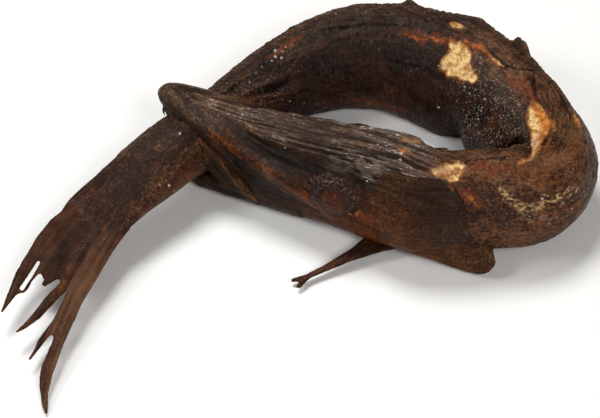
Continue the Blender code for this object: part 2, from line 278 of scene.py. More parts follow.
def body_surface(along, angles):
    """Points of the smooth body, with the rows they were read from.

    Angles run from the left flank (0) over the back (90), right flank (180) and belly.
    """
    _, rows = smooth_rows(body_stations(), along)
    heading = unit(np.gradient(rows[:, :2], along, axis=0))
    outwards = np.column_stack((heading[:, 1], -heading[:, 0], np.zeros(len(rows))))
    upwards = np.array((0, 0, 1))
    lean = np.radians(rows[:, 7:8])
    flank = outwards * np.cos(lean) - upwards * np.sin(lean)
    back = upwards * np.cos(lean) + outwards * np.sin(lean)
    c, s = np.cos(angles)[None, :], np.sin(angles)[None, :]
    trunk = fade(along, 95, 112)[:, None]
    power = 2 / np.where(s > 0, 2.15 - 0.15 * trunk, 2.15 + 0.1 * trunk)
    wide = np.where(c > 0, rows[:, 3:4], rows[:, 4:5]) * bulge(c, power)
    tall = np.where(s > 0, rows[:, 5:6], rows[:, 6:7]) * bulge(s, power)
    points = rows[:, None, :3] + wide[..., None] * flank[:, None] + tall[..., None] * back[:, None]
    return points, rows


def off_floor(points):
    """The same points, none of them lower than a hair above the floor."""
    points[..., 2] = np.maximum(points[..., 2], FLOOR_GAP)
    return points


def grid_normals(points):
    """Directions out of a loft at every point of its rings."""
    along = np.gradient(points, axis=0)
    around = np.roll(points, -1, axis=1) - np.roll(points, 1, axis=1)
    normals = np.cross(along, around)
    normals /= np.maximum(np.linalg.norm(normals, axis=-1, keepdims=True), 1e-9)
    away = points - points.mean(axis=1, keepdims=True)
    return normals * np.sign((normals * away).sum())


def line_distance(x, y, line):
    """Distance to a line of points, and the share of the way along it."""
    line = np.asarray(line, float)
    gap = np.full(np.broadcast(x, y).shape, 1e9)
    share = np.zeros_like(gap)
    for i, (start, end) in enumerate(zip(line, line[1:])):
        reach = end - start
        t = ((x - start[0]) * reach[0] + (y - start[1]) * reach[1]) / reach.dot(reach)
        t = np.clip(t, 0, 1)
        here = np.hypot(x - start[0] - t * reach[0], y - start[1] - t * reach[1])
        share = np.where(here < gap, (i + t) / (len(line) - 1), share)
        gap = np.minimum(gap, here)
    return gap, share


def outline_depth(x, y, outline):
    """Distance inside a closed outline, negative outside it."""
    outline = np.asarray(outline, float)
    gap, _ = line_distance(x, y, np.vstack((outline, outline[:1])))
    inside = np.zeros(gap.shape, bool)
    for start, end in zip(outline, np.roll(outline, -1, axis=0)):
        crosses = (start[1] > y) != (end[1] > y)
        rise = end[1] - start[1] or 1e-9
        inside ^= crosses & (x < start[0] + (y - start[1]) / rise * (end[0] - start[0]))
    return np.where(inside, gap, -gap)


def finished_mesh(name, points, faces, looks, straight):
    """A mesh in metres from millimetres, turned so that its faces point outwards, with
    its looks (0 to 1 at each point) and each point's place on the fish pulled straight."""
    points = np.asarray(points, float)
    corners = np.array([f[:3] for f in faces])
    a, b, c = (points[corners[:, i]] for i in range(3))
    if np.einsum("ij,ij->", a, np.cross(b, c)) < 0:
        faces = [f[::-1] for f in faces]
    mesh = bpy.data.meshes.new(name)
    mesh.from_pydata((points * MM).tolist(), [], faces)
    for key, flat in looks.items():
        data = np.clip(np.broadcast_to(flat, len(points)), 0, 1).astype(np.float32)
        mesh.attributes.new(key, "FLOAT", "POINT").data.foreach_set("value", data)
    straight = np.ascontiguousarray(straight * MM, dtype=np.float32).ravel()
    mesh.attributes.new("straight", "FLOAT_VECTOR", "POINT").data.foreach_set("vector", straight)
    mesh.shade_smooth()
    return mesh


def closed_loft(name, points, looks, straight):
    """A closed mesh from rings of points; each end closes on its middle."""
    count, sides, _ = points.shape
    here = np.arange(count * sides).reshape(count, sides)[:-1]
    beside = np.roll(here, -1, axis=1)
    quads = np.stack((here, beside, beside + sides, here + sides), axis=-1)
    faces = quads.reshape(-1, 4).tolist()
    first, last = here[0].tolist(), (here[-1] + sides).tolist()
    for i in range(sides):
        j = (i + 1) % sides
        faces.append([count * sides, first[j], first[i]])
        faces.append([count * sides + 1, last[i], last[j]])
    flat = {}
    for key, grid in looks.items():
        grid = np.broadcast_to(grid, (count, sides))
        flat[key] = np.append(grid.ravel(), grid[[0, -1]].mean(axis=1))
    everything = np.vstack((points.reshape(-1, 3), points[[0, -1]].mean(axis=1)))
    way = np.vstack((straight.reshape(-1, 3), straight[[0, -1]].mean(axis=1)))
    mesh = finished_mesh(name, everything, faces, flat, way)
    # A hard edge round each end keeps the shading of the wall straight up to the cut.
    ends = np.empty(2 * len(mesh.edges), np.int32)
    mesh.edges.foreach_get("vertices", ends)
    ring = ends.reshape(-1, 2) // sides
    hard = (ring[:, 0] == ring[:, 1]) & ((ring[:, 0] == 0) | (ring[:, 0] == count - 1))
    mesh.attributes.new("sharp_edge", "BOOLEAN", "EDGE").data.foreach_set("value", hard)
    return mesh


def add_piece(mesh, material):
    """A finished piece of the fish: it rides with the body and stands for the CAD solid."""
    mesh.materials.clear()
    mesh.materials.append(material)
    piece = bpy.data.objects.new(mesh.name, mesh)
    bpy.context.scene.collection.objects.link(piece)
    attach(piece, "root")
    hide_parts("smoked_fish")


# Places on the skin: (distance from the snout, angle round the body). On the head the
# left side is given, and the right side mirrors it.
BROW = ((28, 77), (38, 72), (45, 63), (60, 60), (80, 58), (95, 54), (112, 52))
CHEEK_RIDGE = ((21, 38), (30, 32), (40, 29), (51, 24), (60, 18), (68, 10), (75, 0), (84, -8))
SOCKET = ((70, 56), (79, 59), (84, 52), (88, 40), (90, 24), (89, 8), (84, -4))
SOCKET_RIM = ((84, 62), (89, 52), (94, 47), (101, 47))
BROW_SHINE = ((72, 66), (82, 62), (90, 56), (98, 54), (106, 56))
GILL_GROOVE = ((84, 56), (92, 48), (102, 42), (109, 40), (114, 34), (119, 22))
GILL_EDGE_RIM = ((112, 46), (117, 40), (121, 30))
BEND_CREASE = ((139, 92), (143, 106), (148, 124), (155, 148), (161, 178), (164, 212))
# Torn places: outlines in the same measures.
TORN_PATCHES = (
    ((224, 151), (218, 145), (213, 151), (208, 162), (202, 164), (203, 171), (210, 178),
     (217, 181), (222, 180), (223, 172), (222, 162)),
    ((177, 132), (175, 126), (170, 124), (166, 122), (160, 123), (154, 121), (145, 106),
     (142, 100), (139, 97), (142, 107), (148, 122), (155, 141), (162, 144), (169, 147),
     (174, 141)),
    ((110, 79), (112, 85), (115, 93), (119, 100), (121, 93), (120, 84), (118, 75), (116, 72),
     (114, 76), (112, 74), (111, 76)),
    ((229, 128), (228, 121), (226, 120), (224, 127), (225, 131), (227, 133)),
    ((96, 104), (99, 107), (103, 110), (103, 113), (100, 112), (97, 108)),
    ((184, 90), (181, 85), (177, 80), (175, 84), (177, 88), (181, 92)),
    ((172, 82), (169, 76), (166, 80), (167, 88), (170, 90)),
    ((204, 138), (203, 135), (199, 134), (200, 137)),
    ((86, 1), (87, 5), (90, 5), (90, 0)),
)
# Rust-coloured splits: lines of (distance, angle), and half the width in millimetres.
RUST_SPLITS = (
    (((246, 160), 0.3), ((242, 160), 1.2), ((237, 162), 0.9), ((234, 159), 0.3)),
    (((236, 156), 0.3), ((231, 156), 1), ((226, 152), 1.3), ((222, 149), 0.3)),
    (((222, 146), 0.4), ((218, 142), 1.2), ((211, 138), 1.5), ((206, 137), 1.2),
     ((203, 134), 0.3)),
    (((119, 92), 0.4), ((116, 81), 1), ((114, 75), 0.4)),
    (((115, 68), 0.3), ((117, 58), 1.3), ((119, 47), 0.4)),
    (((119, 64), 0.3), ((121, 56), 0.9), ((124, 44), 0.3)),
    (((178, 130), 0.4), ((172, 121), 1.2), ((164, 118), 1.4), ((156, 115), 0.9),
     ((149, 106), 0.4)),
    (((97, 90), 0.3), ((101, 90), 0.9), ((105, 90), 0.3)),
    (((112, 77), 0.3), ((115, 80), 1), ((118, 83), 1.1), ((120, 87), 0.3)),
)
# Cracks and folds, painted dark as shade inside them, the same way.
CRACKS = (
    (((212, 131), 0.3), ((205, 133), 0.8), ((198, 131), 1), ((194, 122), 0.5), ((192, 104), 0.3)),
    (((192, 104), 0.3), ((184, 119), 0.9), ((178, 125), 0.9), ((170, 119), 0.5),
     ((165, 117), 0.3)),
    (((278, 146), 0.2), ((267, 153), 0.4), ((254, 152), 0.35), ((243, 150), 0.2)),
    (((166, 136), 0.2), ((160, 130), 0.45), ((156, 127), 0.2)),
    (((112, 94), 0.3), ((118, 97), 0.6), ((124, 96), 0.3)),
    (((122, 100), 0.3), ((132, 106), 0.6), ((140, 112), 0.3)),
    (((113, 77), 0.2), ((116, 80), 0.5), ((119, 83), 0.2)),
)
# Blood-red and russet places, the same way.
BLUSHES = (
    (((302, 150), 1.5), ((294, 147), 3), ((285, 140), 1.5)),
    (((192, 140), 2), ((187, 131), 5), ((180, 128), 3.5)),
    (((246, 158), 2), ((236, 158), 4), ((225, 152), 4), ((212, 139), 3)),
    (((123, 96), 2), ((128, 92), 5.5), ((134, 88), 3)),
    (((115, 62), 2), ((119, 58), 4.5), ((124, 48), 3)),
    (((274, 250), 1.5), ((255, 246), 3), ((236, 240), 2)),
    (((90, 4), 1.2), ((97, 8), 2.6), ((104, 6), 1.2)),
)
GOLD_BAND = (((131, 66), 1.6), ((135, 50), 3), ((139, 43), 3), ((143, 50), 2.6), ((149, 47), 3.2))
GOLD_DUST = (((134, 44), 3), ((142, 36), 6), ((150, 34), 5))
RUSSET_EDGE = (((299, 152), 1.5), ((293, 150), 3.4), ((287, 142), 1.6))

# How far the dried skin stands off the smooth body on the outside of the ring.
OUTSIDE_STAND = (
    (125, 0), (145, -0.2), (155, -0.8), (170, -1.1), (185, -1), (200, -0.7), (213, -0.3),
    (226, -0.8), (250, -0.8), (262, -0.5), (275, -0.3), (284, 0.3), (292, -0.4), (300, -1.4),
    (315, -2.6), (325, -3), (335, -2.2), (350, -0.6), (362, -0.6), (376, -0.8), (388, -0.4),
    (396, 0),
)
body_rows_at = np.arange(0, smooth_rows(body_stations())[0][-1], 1)
_, body_rows = body_surface(body_rows_at, np.zeros(1))
BODY_RADIUS = body_rows[:, 3:7].mean(axis=1)


def unrolled(distance, degrees):
    """Where a place lies on the skin slit open and rolled out flat, in millimetres."""
    return distance, np.radians(degrees) * np.interp(distance, body_rows_at, BODY_RADIUS)


def stripe(x, y, line):
    """1 along the middle of a tapering line, 0 at its edges, negative outside."""
    gap, share = line_distance(x, y, [unrolled(*place) for place, _ in line])
    half = np.interp(share, np.linspace(0, 1, len(line)), [width for _, width in line])
    return 1 - gap / half


def skin_look(s, turn):
    """How the skin looks at a place: its relief in millimetres, its named looks for the
    material, and the place on the fish pulled straight, which the patterns are drawn on."""
    radius = np.interp(s, body_rows_at, BODY_RADIUS)
    y, z = radius * np.cos(np.radians(turn)), radius * np.sin(np.radians(turn))
    s, turn, y, z = np.broadcast_arrays(s, turn, y, z)
    # Angles just short of a full turn count from the other side, as the places do.
    wrapped = np.where(turn > 300, turn - 360, turn)
    arc = np.radians(wrapped) * radius
    # The same angle for left and right: -90 is the belly, 90 the back.
    side_turn = np.where(turn > 270, turn - 360, np.where(turn > 90, 180 - turn, turn))
    side_arc = np.radians(side_turn) * radius

    def head_line(line, width):
        """1 on a line on the side of the head, fading out over its width."""
        gap, share = line_distance(s, side_arc, [unrolled(*place) for place in line])
        ends = np.minimum(fade(share, 0, 0.15), fade(share, 1, 0.85))
        return np.exp(-((gap / width) ** 2)) * ends

    def along_lines(lines):
        """1 along the middle of the nearest of several tapering lines."""
        best = np.full(s.shape, -9)
        for line in lines:
            best = np.maximum(best, stripe(s, arc, line))
        return best

    def swell(long, across, seed, noise=ripple):
        """Noise on the skin with swells so many millimetres long and across."""
        return noise(s / long, y / across, z / across, seed)

    head = fade(s, 116, 98)
    trunk = 1 - head
    brow = np.interp(s, *np.transpose(BROW)) + 2 * ripple(s / 7, 0, 0, 30)
    forehead = hump(s, 6, 26, 104, 122) * fade(side_turn, brow - 2, brow + 4)
    back = fade(s, 112, 130) * hump(turn, 60, 84, 120, 150)
    near_flank = hump(s, 106, 124, 160, 196)
    near_flank = near_flank * fade(wrapped, 120, 96) * fade(wrapped, -60, -35)
    inner_wall = hump(s, 124, 150, 305, 335)
    inner_wall = inner_wall * hump(turn, 158, 186, 260, 290)
    far_back = fade(s, 205, 235) * hump(turn, 60, 90, 186, 212)
    bend_wall = hump(s, 140, 156, 204, 218) * fade(turn, 136, 150)
    bend_wall = bend_wall * fade(turn, 250, 222)
    root = fade(s, 330, 360)
    tailward = fade(s, 340, 384)
    calm = 1 - 0.7 * near_flank - 0.55 * far_back - 0.6 * tailward

    relief = 0.7 * swell(26, 15, 1) * fade(s, 20, 60)
    relief += 0.35 * swell(12, 7, 2)
    outside = fade(side_turn, 128, 98) * fade(turn, 150, 100) + fade(turn, 290, 320)
    relief += np.interp(s, *np.transpose(OUTSIDE_STAND)) * np.clip(outside, 0, 1)
    relief = relief - 0.8 * hump(s, 45, 80, 110, 124) * fade(turn, 96, 120)
    relief += 0.4 * hump(s, 335, 345, 362, 376) * fade(turn, 225, 250)
    underside = np.exp(-(((turn - 228) / 34) ** 2))
    relief += 0.6 * underside * hump(s, 208, 218, 240, 256)
    relief = relief - 5 * np.exp(-(((s - 206.5) / 7) ** 2) - ((turn - 250) / 46) ** 4)
    # Shrivelled skin: sharp little crests that run mostly along the fish.
    drift = 1.5 * swell(24, 14, 3)
    wander = 0.5 * swell(5, 5, 18)
    shrivel = crests(s / 16 + wander, y / 3.4 + drift + wander, z / 3.4, 4)
    shrivel_fine = crests(s / 3.6 + wander, y / 1.3 + drift, z / 1.3 - drift, 5)
    strong = 0.16 + 0.02 * far_back + 0.20 * back
    strong = strong - 0.02 * near_flank - 0.1 * bend_wall - 0.08 * tailward
    relief += trunk * strong * (0.7 * shrivel + 0.5 * shrivel_fine)
    long_crests = crests(s / 40 + y / 9 + 0.5 * wander, y / 2.6 + 1.5 * drift, z / 2.6, 6)
    relief += trunk * (0.05 + 0.12 * far_back + 0.12 * back) * long_crests
    # Cross wrinkles, pressed together inside the bend.
    across = crests(s / 1.5 + y / 9, y / 12, z / 12, 7)
    relief += inner_wall * (0.12 - 0.03 * bend_wall) * across
    # Deep folds where the body narrows before it goes under the jaw.
    folds = hump(s, 292, 312, 336, 352)
    folds = folds * hump(turn, 140, 168, 232, 262)
    fold_crests = crests(s / 22 + 0.03 * turn, y / 4.2, z / 4.2, 8)
    relief += folds * fold_crests
    # Bony ridges of the forehead, which run together towards the snout.
    bony_turn = side_turn / 6 + 0.7 * ripple(s / 28, side_turn / 30, 0, 9)
    bony = crests(s / 60, bony_turn, 0.3, 10)
    bony_fine = crests(s / 30, 3.2 * bony_turn, 0.7, 11)
    fibres = crests(s / 18, 7 * bony_turn, 0.9, 33)
    relief += forehead * (bony + 0.45 * bony_fine + 0.18 * fibres - 0.2)
    # Tight skin over the cheek, with a few long creases.
    cheek_crease = crests(s / 26 + 0.5 * side_arc / 20, side_arc / 2.4, 0.1, 19)
    relief += head * (1 - forehead) * 0.22 * cheek_crease

    # The cheek is hollow under the brow, and there is a pit behind the jaw bone.
    hollow = hump(s, 26, 50, 68, 86)
    hollow = hollow * fade(side_turn, 24, 38) * fade(side_turn, brow + 2, brow - 10)
    pit_low = np.interp(s, (27, 40, 68), (6, -18, -20))
    pit_high = np.interp(s, (27, 40, 56, 68), (24, 20, 8, -4))
    pit = hump(s, 27, 40, 58, 68)
    pit = pit * fade(side_turn, pit_low, pit_low + 8)
    pit = pit * fade(side_turn, pit_high, pit_high - 6)
    cheek, socket = head_line(CHEEK_RIDGE, 2.4), head_line(SOCKET, 3.2)
    brow_edge = head_line(BROW[1:4], 0.8)
    shine = head_line(BROW_SHINE, 4)
    rim = head_line(SOCKET_RIM, 0.7) + head_line(GILL_EDGE_RIM, 0.7) + brow_edge
    groove = head_line(GILL_GROOVE, 1.9)
    relief = relief - 1.3 * hollow - 0.7 * pit
    relief += 1.6 * cheek - 2 * socket + 0.5 * rim - 1.2 * groove + 0.6 * shine

    crease_line = [(a, math.radians(b) * 18) for a, b in BEND_CREASE]
    crease_gap, crease_share = line_distance(s, np.radians(turn) * 18, crease_line)
    crease = np.exp(-((crease_gap / 2.6) ** 2)) * fade(crease_share, 0, 0.35)
    relief = relief - 3.4 * crease

    ragged = 0.55 * swell(2.8, 2.8, 12) + 0.45 * swell(1.1, 1.1, 13)
    torn = np.full(s.shape, -9)
    for patch in TORN_PATCHES:
        torn = np.maximum(torn, outline_depth(s, arc, [unrolled(*place) for place in patch]))
    torn += 1.1 * ragged
    split = fade(along_lines(RUST_SPLITS) + 1.6 * ragged, 0.1, 0.7)
    flesh = fade(torn, -0.1, 0.15) * (1 - 0.9 * split)
    lip = fade(torn, -1.2, -0.2) * (1 - flesh)
    crack = fade(along_lines(CRACKS) + 0.8 * ragged, 0, 0.6)
    blush = fade(along_lines(BLUSHES) + 1.2 * ragged, 0, 0.9)
    russet = fade(along_lines((RUSSET_EDGE,)) + 1.4 * ragged, 0.2, 1)
    gold = fade(along_lines((GOLD_BAND,)) + 1.2 * ragged, 0, 1)
    dust = fade(along_lines((GOLD_DUST,)) + 1.2 * ragged, 0, 1)
    # The outer half of the torn place at the bend is golden and runs in long fibres.
    halfway = np.interp(s, (140, 150, 160, 177), (101, 121, 133, 135))
    golden = fade(turn, halfway + 4, halfway - 3) * fade(s, 181, 175) * fade(s, 136, 140)
    golden = golden * (0.75 + 0.4 * crests(s / 14, (turn - halfway) / 3, 0, 36))
    relief = relief * (1 - 0.85 * flesh * forehead) - 0.2 * forehead * flesh
    flaky = 0.16 * swell(1.6, 1.3, 14) + 0.14 * swell(5, 1.6, 15, crests)
    relief = relief - flesh * (0.65 - flaky) + 0.35 * lip - 0.45 * split - crack

    hide = 0.10 + 0.12 * near_flank + 0.08 * back + 0.08 * bend_wall + 0.08 * far_back
    hide = hide - 0.04 * tailward
    grain = swell(1.3, 1.3, 16) + 0.5 * swell(0.8, 0.8, 17)
    relief += hide * grain * (1 - 0.7 * forehead)

    # How much a place stands up among its own wrinkles, 0 to 1. From it the material paints the
    # crests lighter and the folds darker, painted light and shade.
    crest = 0.5 + trunk * calm * 0.30 * (0.6 * shrivel + 0.4 * shrivel_fine)
    crest += trunk * far_back * 0.05 * long_crests
    crest += (0.15 + 0.08 * near_flank + 0.06 * far_back) * grain * (1 - forehead)
    crest += inner_wall * 0.12 * across + folds * 0.3 * fold_crests
    crest += forehead * (0.40 * bony + 0.30 * bony_fine + 0.22 * fibres - 0.16)
    crest += head * (1 - forehead) * 0.15 * cheek_crease + 0.2 * rim - 0.4 * crack
    # On the shiny bulge of the brow the fibres are raised as crests, so that painted light and
    # glints gather there.
    crest += shine * (0.02 + 0.45 * fibres)

    # Tone runs from sooty black (0) to tan (1); warm from grey-brown to red-brown.
    tone = 0.44 + 0.15 * swell(22, 12, 20)
    tone += 0.10 * swell(7, 5, 21)
    tone += 0.13 * near_flank + 0.12 * back - 0.10 * far_back
    tone = tone - 0.14 * inner_wall - 0.05 * bend_wall
    inner_edge = hump(s, 225, 240, 296, 310) * fade(turn, 224, 240)
    tone += 0.03 * inner_edge * inner_wall
    tone += 0.06 * root + 0.18 * russet + 0.30 * lip + 0.06 * blush + 0.12 * dust
    # Painted shade: the cheek hollow, the pit behind the jaw bone, the gill groove, the eye socket
    # and the crease of the bend are painted darker, where shade falls.
    painted_hollow_shade = hollow + 0.8 * pit + 0.8 * groove + socket + 0.5 * crease
    tone = tone - 0.10 * head - 0.20 * np.clip(painted_hollow_shade, 0, 1)
    # Painted highlights: the rims of the socket, the gill edge and the brow are painted lighter as
    # pale lines.
    tone += 0.20 * cheek + 0.10 * rim - 0.04 * shine
    lower_face = hump(s, 60, 76, 108, 126) * fade(side_turn, 38, 16)
    # Painted highlight: the top of the snout is painted lighter.
    tone += 0.14 * fade(s, 46, 16) * fade(side_turn, 10, 40)
    # Cracks are painted darker: painted shade inside them.
    tone += 0.24 * lower_face - 0.18 * crack
    below_root = fade(s, 346, 362) * hump(turn, 205, 225, 270, 292)
    tone += 0.16 * below_root
    warm = 0.38 + 0.15 * near_flank + 0.5 * lower_face + 0.45 * cheek + 0.4 * blush
    warm += 0.2 * inner_wall + 0.25 * below_root - 0.35 * forehead
    warm += 0.30 * swell(12, 8, 22)
    bloom = 0.06 + 0.70 * bend_wall + 0.4 * russet + 0.30 * below_root
    bloom += 0.22 * near_flank + 0.12 * far_back + 0.8 * dust + 0.10 * back + 0.25 * folds
    # Towards the tail the skin thins to a web over the rays and looks like the fin.
    finward = fade(s, 364 + 16 * fade(turn, 110, 200), 394)
    strands = crests(s / 30, y / 0.9 + 0.5 * drift, z / 0.9, 32)
    tone = tone * (1 - finward) + finward * (0.42 + 0.05 * strands)
    crest = crest * (1 - 0.8 * finward) + 0.8 * finward * (0.5 + 0.25 * strands)
    warm = warm * (1 - finward) + 0.75 * finward
    bloom = bloom * (1 - 0.7 * finward)
    # Fat has dried shiny on some stretches of the forehead and on the brow. The gloss look makes
    # these places, the snout, the cheek ridge, the rims and the brow bulge smoother, and the
    # material paints its sheen and glints on their crests.
    greasy = 0.30 + 0.70 * fade(ripple(s / 17, side_arc / 5, 0, 35), -0.1, 0.5)
    snout = fade(s, 40, 14) * fade(side_turn, 20, 50)
    looks = {
        "tone": tone,
        "warm": warm - 0.5 * snout,
        "flesh": flesh,
        "rust": np.maximum(split, 0.5 * lip + 0.6 * flesh * fade(torn, 0.9, 0.1)),
        "gold": np.maximum(gold, golden * flesh),
        "gloss": forehead * greasy + 0.6 * snout + 0.4 * cheek * head + 0.5 * rim + 1.2 * shine,
        "crest": crest,
        "bloom": bloom * (1 - flesh),
        "blush": blush,
        "amber": lower_face + 0.6 * cheek,
    }
    looks = {key: np.clip(value, 0, 1) for key, value in looks.items()}
    return relief, looks, np.stack((s, y, z), axis=-1)


def per_mm(size):
    """Texture scale, in swells to a metre, for a pattern of this size in millimetres."""
    return 1000 / size


def cloudy_finish(name, size, detail, colours, roughness, gloss_level=0.5):
    """A simple clouded material: two colours and the noise values where they begin."""
    dark, light, low, high = colours
    material, tree, shader = new_material(name)
    where = add_node(tree, "ShaderNodeTexCoord").outputs["Object"]
    cloud = {"Vector": where, "Scale": per_mm(size), "Detail": detail}
    cloud = add_node(tree, "ShaderNodeTexNoise", cloud).outputs["Fac"]
    share = add_node(tree, "ShaderNodeMapRange", {"Value": cloud, 1: low, 2: high}).outputs[0]
    blend = {0: share, 6: linear(dark), 7: linear(light)}
    blend = add_node(tree, "ShaderNodeMix", blend, data_type="RGBA").outputs[2]
    tree.links.new(blend, shader.inputs["Base Color"])
    shader.inputs["Roughness"].default_value = roughness
    shader.inputs["Specular IOR Level"].default_value = gloss_level
    return material


def smoked_finish(name, darkest, middle, light, streak_length=4, roughness=0.45, gloss_level=0.2):
    """Smoke-cured fish: shrunk leathery skin, oily on its crests and dull in its folds.

    Colours run from soot black to the tan of the thin places, with painted shade in the
    folds, painted light on the crests and painted glints where the crests are glossy.
    Torn places show cream flesh with a rust rim, and salt and fat have dried into pale dots.
    """
    material, tree, shader = new_material(name)
    # Each row of the tables below adds one node, which later rows read by its name.
    made = {}
    for key in (
        "tone", "warm", "flesh", "rust", "gold", "gloss", "crest", "bloom", "blush", "amber"
    ):
        made[key] = add_node(tree, "ShaderNodeAttribute", attribute_name=key).outputs["Fac"]
    place = add_node(tree, "ShaderNodeAttribute", attribute_name="straight").outputs["Vector"]
    # Noise drawn out along the fish gives the streaks of its fibres and dashes of fat.
    drawn = {"Vector": place, "Scale": (1 / streak_length, 1, 1)}
    drawn = add_node(tree, "ShaderNodeMapping", drawn).outputs[0]
    dashed = {"Vector": place, "Scale": (0.2, 1, 1)}
    dashed = add_node(tree, "ShaderNodeMapping", dashed).outputs[0]

    # Noise: size of its clouds in millimetres, detail, roughness and the place it reads.
    for key, size, detail, rough, where in (
        ("streaks", 1.2, 4, 0.62, drawn),
        ("blotches", 5, 6, 0.65, place),
        ("grain", 0.8, 3, 0.65, place),
        ("dashes", 0.5, 2, 0.5, dashed),
        ("speckle", 0.75, 2, 0.5, place),
        ("gilding", 1.3, 4, 0.6, place),
        ("flakes", 2.6, 5, 0.65, place),
        ("veins", 1, 3, 0.6, place),
        ("stains", 8, 2, 0.5, place),
        ("dullness", 3, 4, 0.6, place),
    ):
        cloud = {"Vector": where, "Scale": per_mm(size), "Detail": detail, "Roughness": rough}
        made[key] = add_node(tree, "ShaderNodeTexNoise", cloud).outputs["Fac"]

    # Smooth steps: what is read, where the step starts and ends, and its height there.
    for key, source, low, high, bottom, top in (
        ("streak tone", "streaks", 0.3, 0.7, -0.05, 0.05),
        ("blotch tone", "blotches", 0.3, 0.7, -0.07, 0.07),
        ("grain tone", "grain", 0.3, 0.7, -0.15, 0.15),
        # Painted light and shade: crests lighter, the folds between them darker.
        ("painted crest light and fold shade", "crest", 0.1, 0.95, -0.23, 0.20),
        ("warm", "warm", 0.1, 1, 0, 0.75),
        ("blush", "blush", 0, 1, 0, 0.45),
        # Painted sheen on the glossy crests, ash-grey.
        ("painted_crest_sheen", "crest", 0.60, 1, 0, 0.24),
        # Painted glints in short dashes along the glossy crests.
        ("painted_glint_dashes", "crest", 0.60, 0.95, 0, 0.8),
        ("dashes", "dashes", 0.58, 0.66, 0, 1),
        ("speckle", "speckle", 0.62, 0.68, 0, 1),
        ("bloom", "bloom", 0.05, 0.9, 0, 0.75),
        ("gilding", "gilding", 0.47, 0.60, 0, 1),
        ("rust clouds", "blotches", 0.35, 0.65, 0, 1),
        ("flakes", "flakes", 0.36, 0.62, 0, 1),
        ("veins", "veins", 0.55, 0.75, 0, 1),
        ("stains", "stains", 0.50, 0.62, 0, 0.4),
        ("dullness", "dullness", 0.3, 0.7, roughness - 0.14, roughness + 0.14),
        ("polish", "crest", 0.3, 0.9, 0.06, 0.24),
    ):
        step = {"Value": made[source], 1: low, 2: high, 3: bottom, 4: top}
        step = add_node(tree, "ShaderNodeMapRange", step, interpolation_type="SMOOTHSTEP")
        made[key] = step.outputs[0]

    # Sums and products of these looks, or of one look and a number.
    for key, a, operation, b in (
        ("tone", "tone", "ADD", "streak tone"),
        ("tone", "tone", "ADD", "blotch tone"),
        ("tone", "tone", "ADD", "grain tone"),
        ("tone", "tone", "ADD", "painted crest light and fold shade"),
        # The painted sheen and painted glints go only where the gloss look is high, the glints in
        # short dashes.
        ("painted_crest_sheen", "gloss", "MULTIPLY", "painted_crest_sheen"),
        ("painted_glint_dashes", "gloss", "MULTIPLY", "painted_glint_dashes"),
        ("painted_glint_dashes", "dashes", "MULTIPLY", "painted_glint_dashes"),
        ("speckle", "speckle", "MULTIPLY", "bloom"),
        ("gilding", "gold", "MULTIPLY", "gilding"),
        ("gold", "gold", "MULTIPLY", 0.9),
        ("polish", "gloss", "MULTIPLY", "polish"),
        ("dry flesh", "flesh", "MULTIPLY", 0.25),
        ("dullness", "dullness", "SUBTRACT", "polish"),
        ("dullness", "dullness", "ADD", "dry flesh"),
    ):
        terms = {0: made[a], 1: made.get(b, b)}
        made[key] = add_node(tree, "ShaderNodeMath", terms, operation=operation).outputs[0]

    soot_to_tan = add_node(tree, "ShaderNodeValToRGB", {0: made["tone"]})
    stops = soot_to_tan.color_ramp.elements
    stops[0].position, stops[0].color = 0.05, linear(darkest)
    stops[1].position, stops[1].color = 1, linear(light)
    stops.new(0.5).color = linear(middle)
    made["skin"] = soot_to_tan.outputs[0]
    # Layers of colour: how much shows, what lies below, what on top, and how they blend.
    for key, amount, below, above, blend in (
        ("skin", "warm", "skin", "#a8662c", "SOFT_LIGHT"),
        ("blood", "blotches", "#3a170e", "#8a4326", "MIX"),
        ("skin", "blush", "skin", "blood", "MIX"),
        # Painted glow: thin stretched skin is tinted golden, standing in for light shining through
        # it.
        ("skin", "amber", "skin", "#fff6c6", "MULTIPLY"),
        # Painted sheen: an ash-grey highlight painted on the glossy crests of the forehead.
        ("skin", "painted_crest_sheen", "skin", "#85766b", "MIX"),
        # Painted glints: short pale dashes painted along the glossy crests.
        ("skin", "painted_glint_dashes", "skin", "#b5aaa0", "MIX"),
        # Fine dry speckle, as coarse as it needs to be to show.
        ("skin", "speckle", "skin", "#a4978a", "MIX"),
        ("skin", "gilding", "skin", "#bb9868", "MIX"),
        ("rusty skin", "rust clouds", "#4a1d0d", "#b0652b", "MIX"),
        ("skin", "rust", "skin", "rusty skin", "MIX"),
        # Flesh in the torn places, from brown to cream, golden towards the outside.
        ("meat", "flakes", "#9c6a36", "#e6c487", "MIX"),
        ("meat", "veins", "meat", "#8f5728", "MIX"),
        ("meat", "stains", "meat", "#b08a6c", "MIX"),
        ("meat", "gold", "meat", "#e0a044", "MULTIPLY"),
        ("skin", "flesh", "skin", "meat", "MIX"),
    ):
        below, above = (made[c] if c in made else linear(c) for c in (below, above))
        layer = {0: made[amount], 6: below, 7: above}
        layer = add_node(tree, "ShaderNodeMix", layer, data_type="RGBA", blend_type=blend)
        made[key] = layer.outputs[2]

    tree.links.new(made["skin"], shader.inputs["Base Color"])
    tree.links.new(made["dullness"], shader.inputs["Roughness"])
    shader.inputs["IOR"].default_value = 1.45
    shader.inputs["Specular IOR Level"].default_value = gloss_level
    coarse = {"Height": made["streaks"], "Strength": 0.6, "Distance": 0.3 * MM}
    coarse = add_node(tree, "ShaderNodeBump", coarse).outputs[0]
    fine = {"Height": made["grain"], "Strength": 0.8, "Distance": 0.25 * MM, "Normal": coarse}
    fine = add_node(tree, "ShaderNodeBump", fine).outputs[0]
    tree.links.new(fine, shader.inputs["Normal"])
    return material


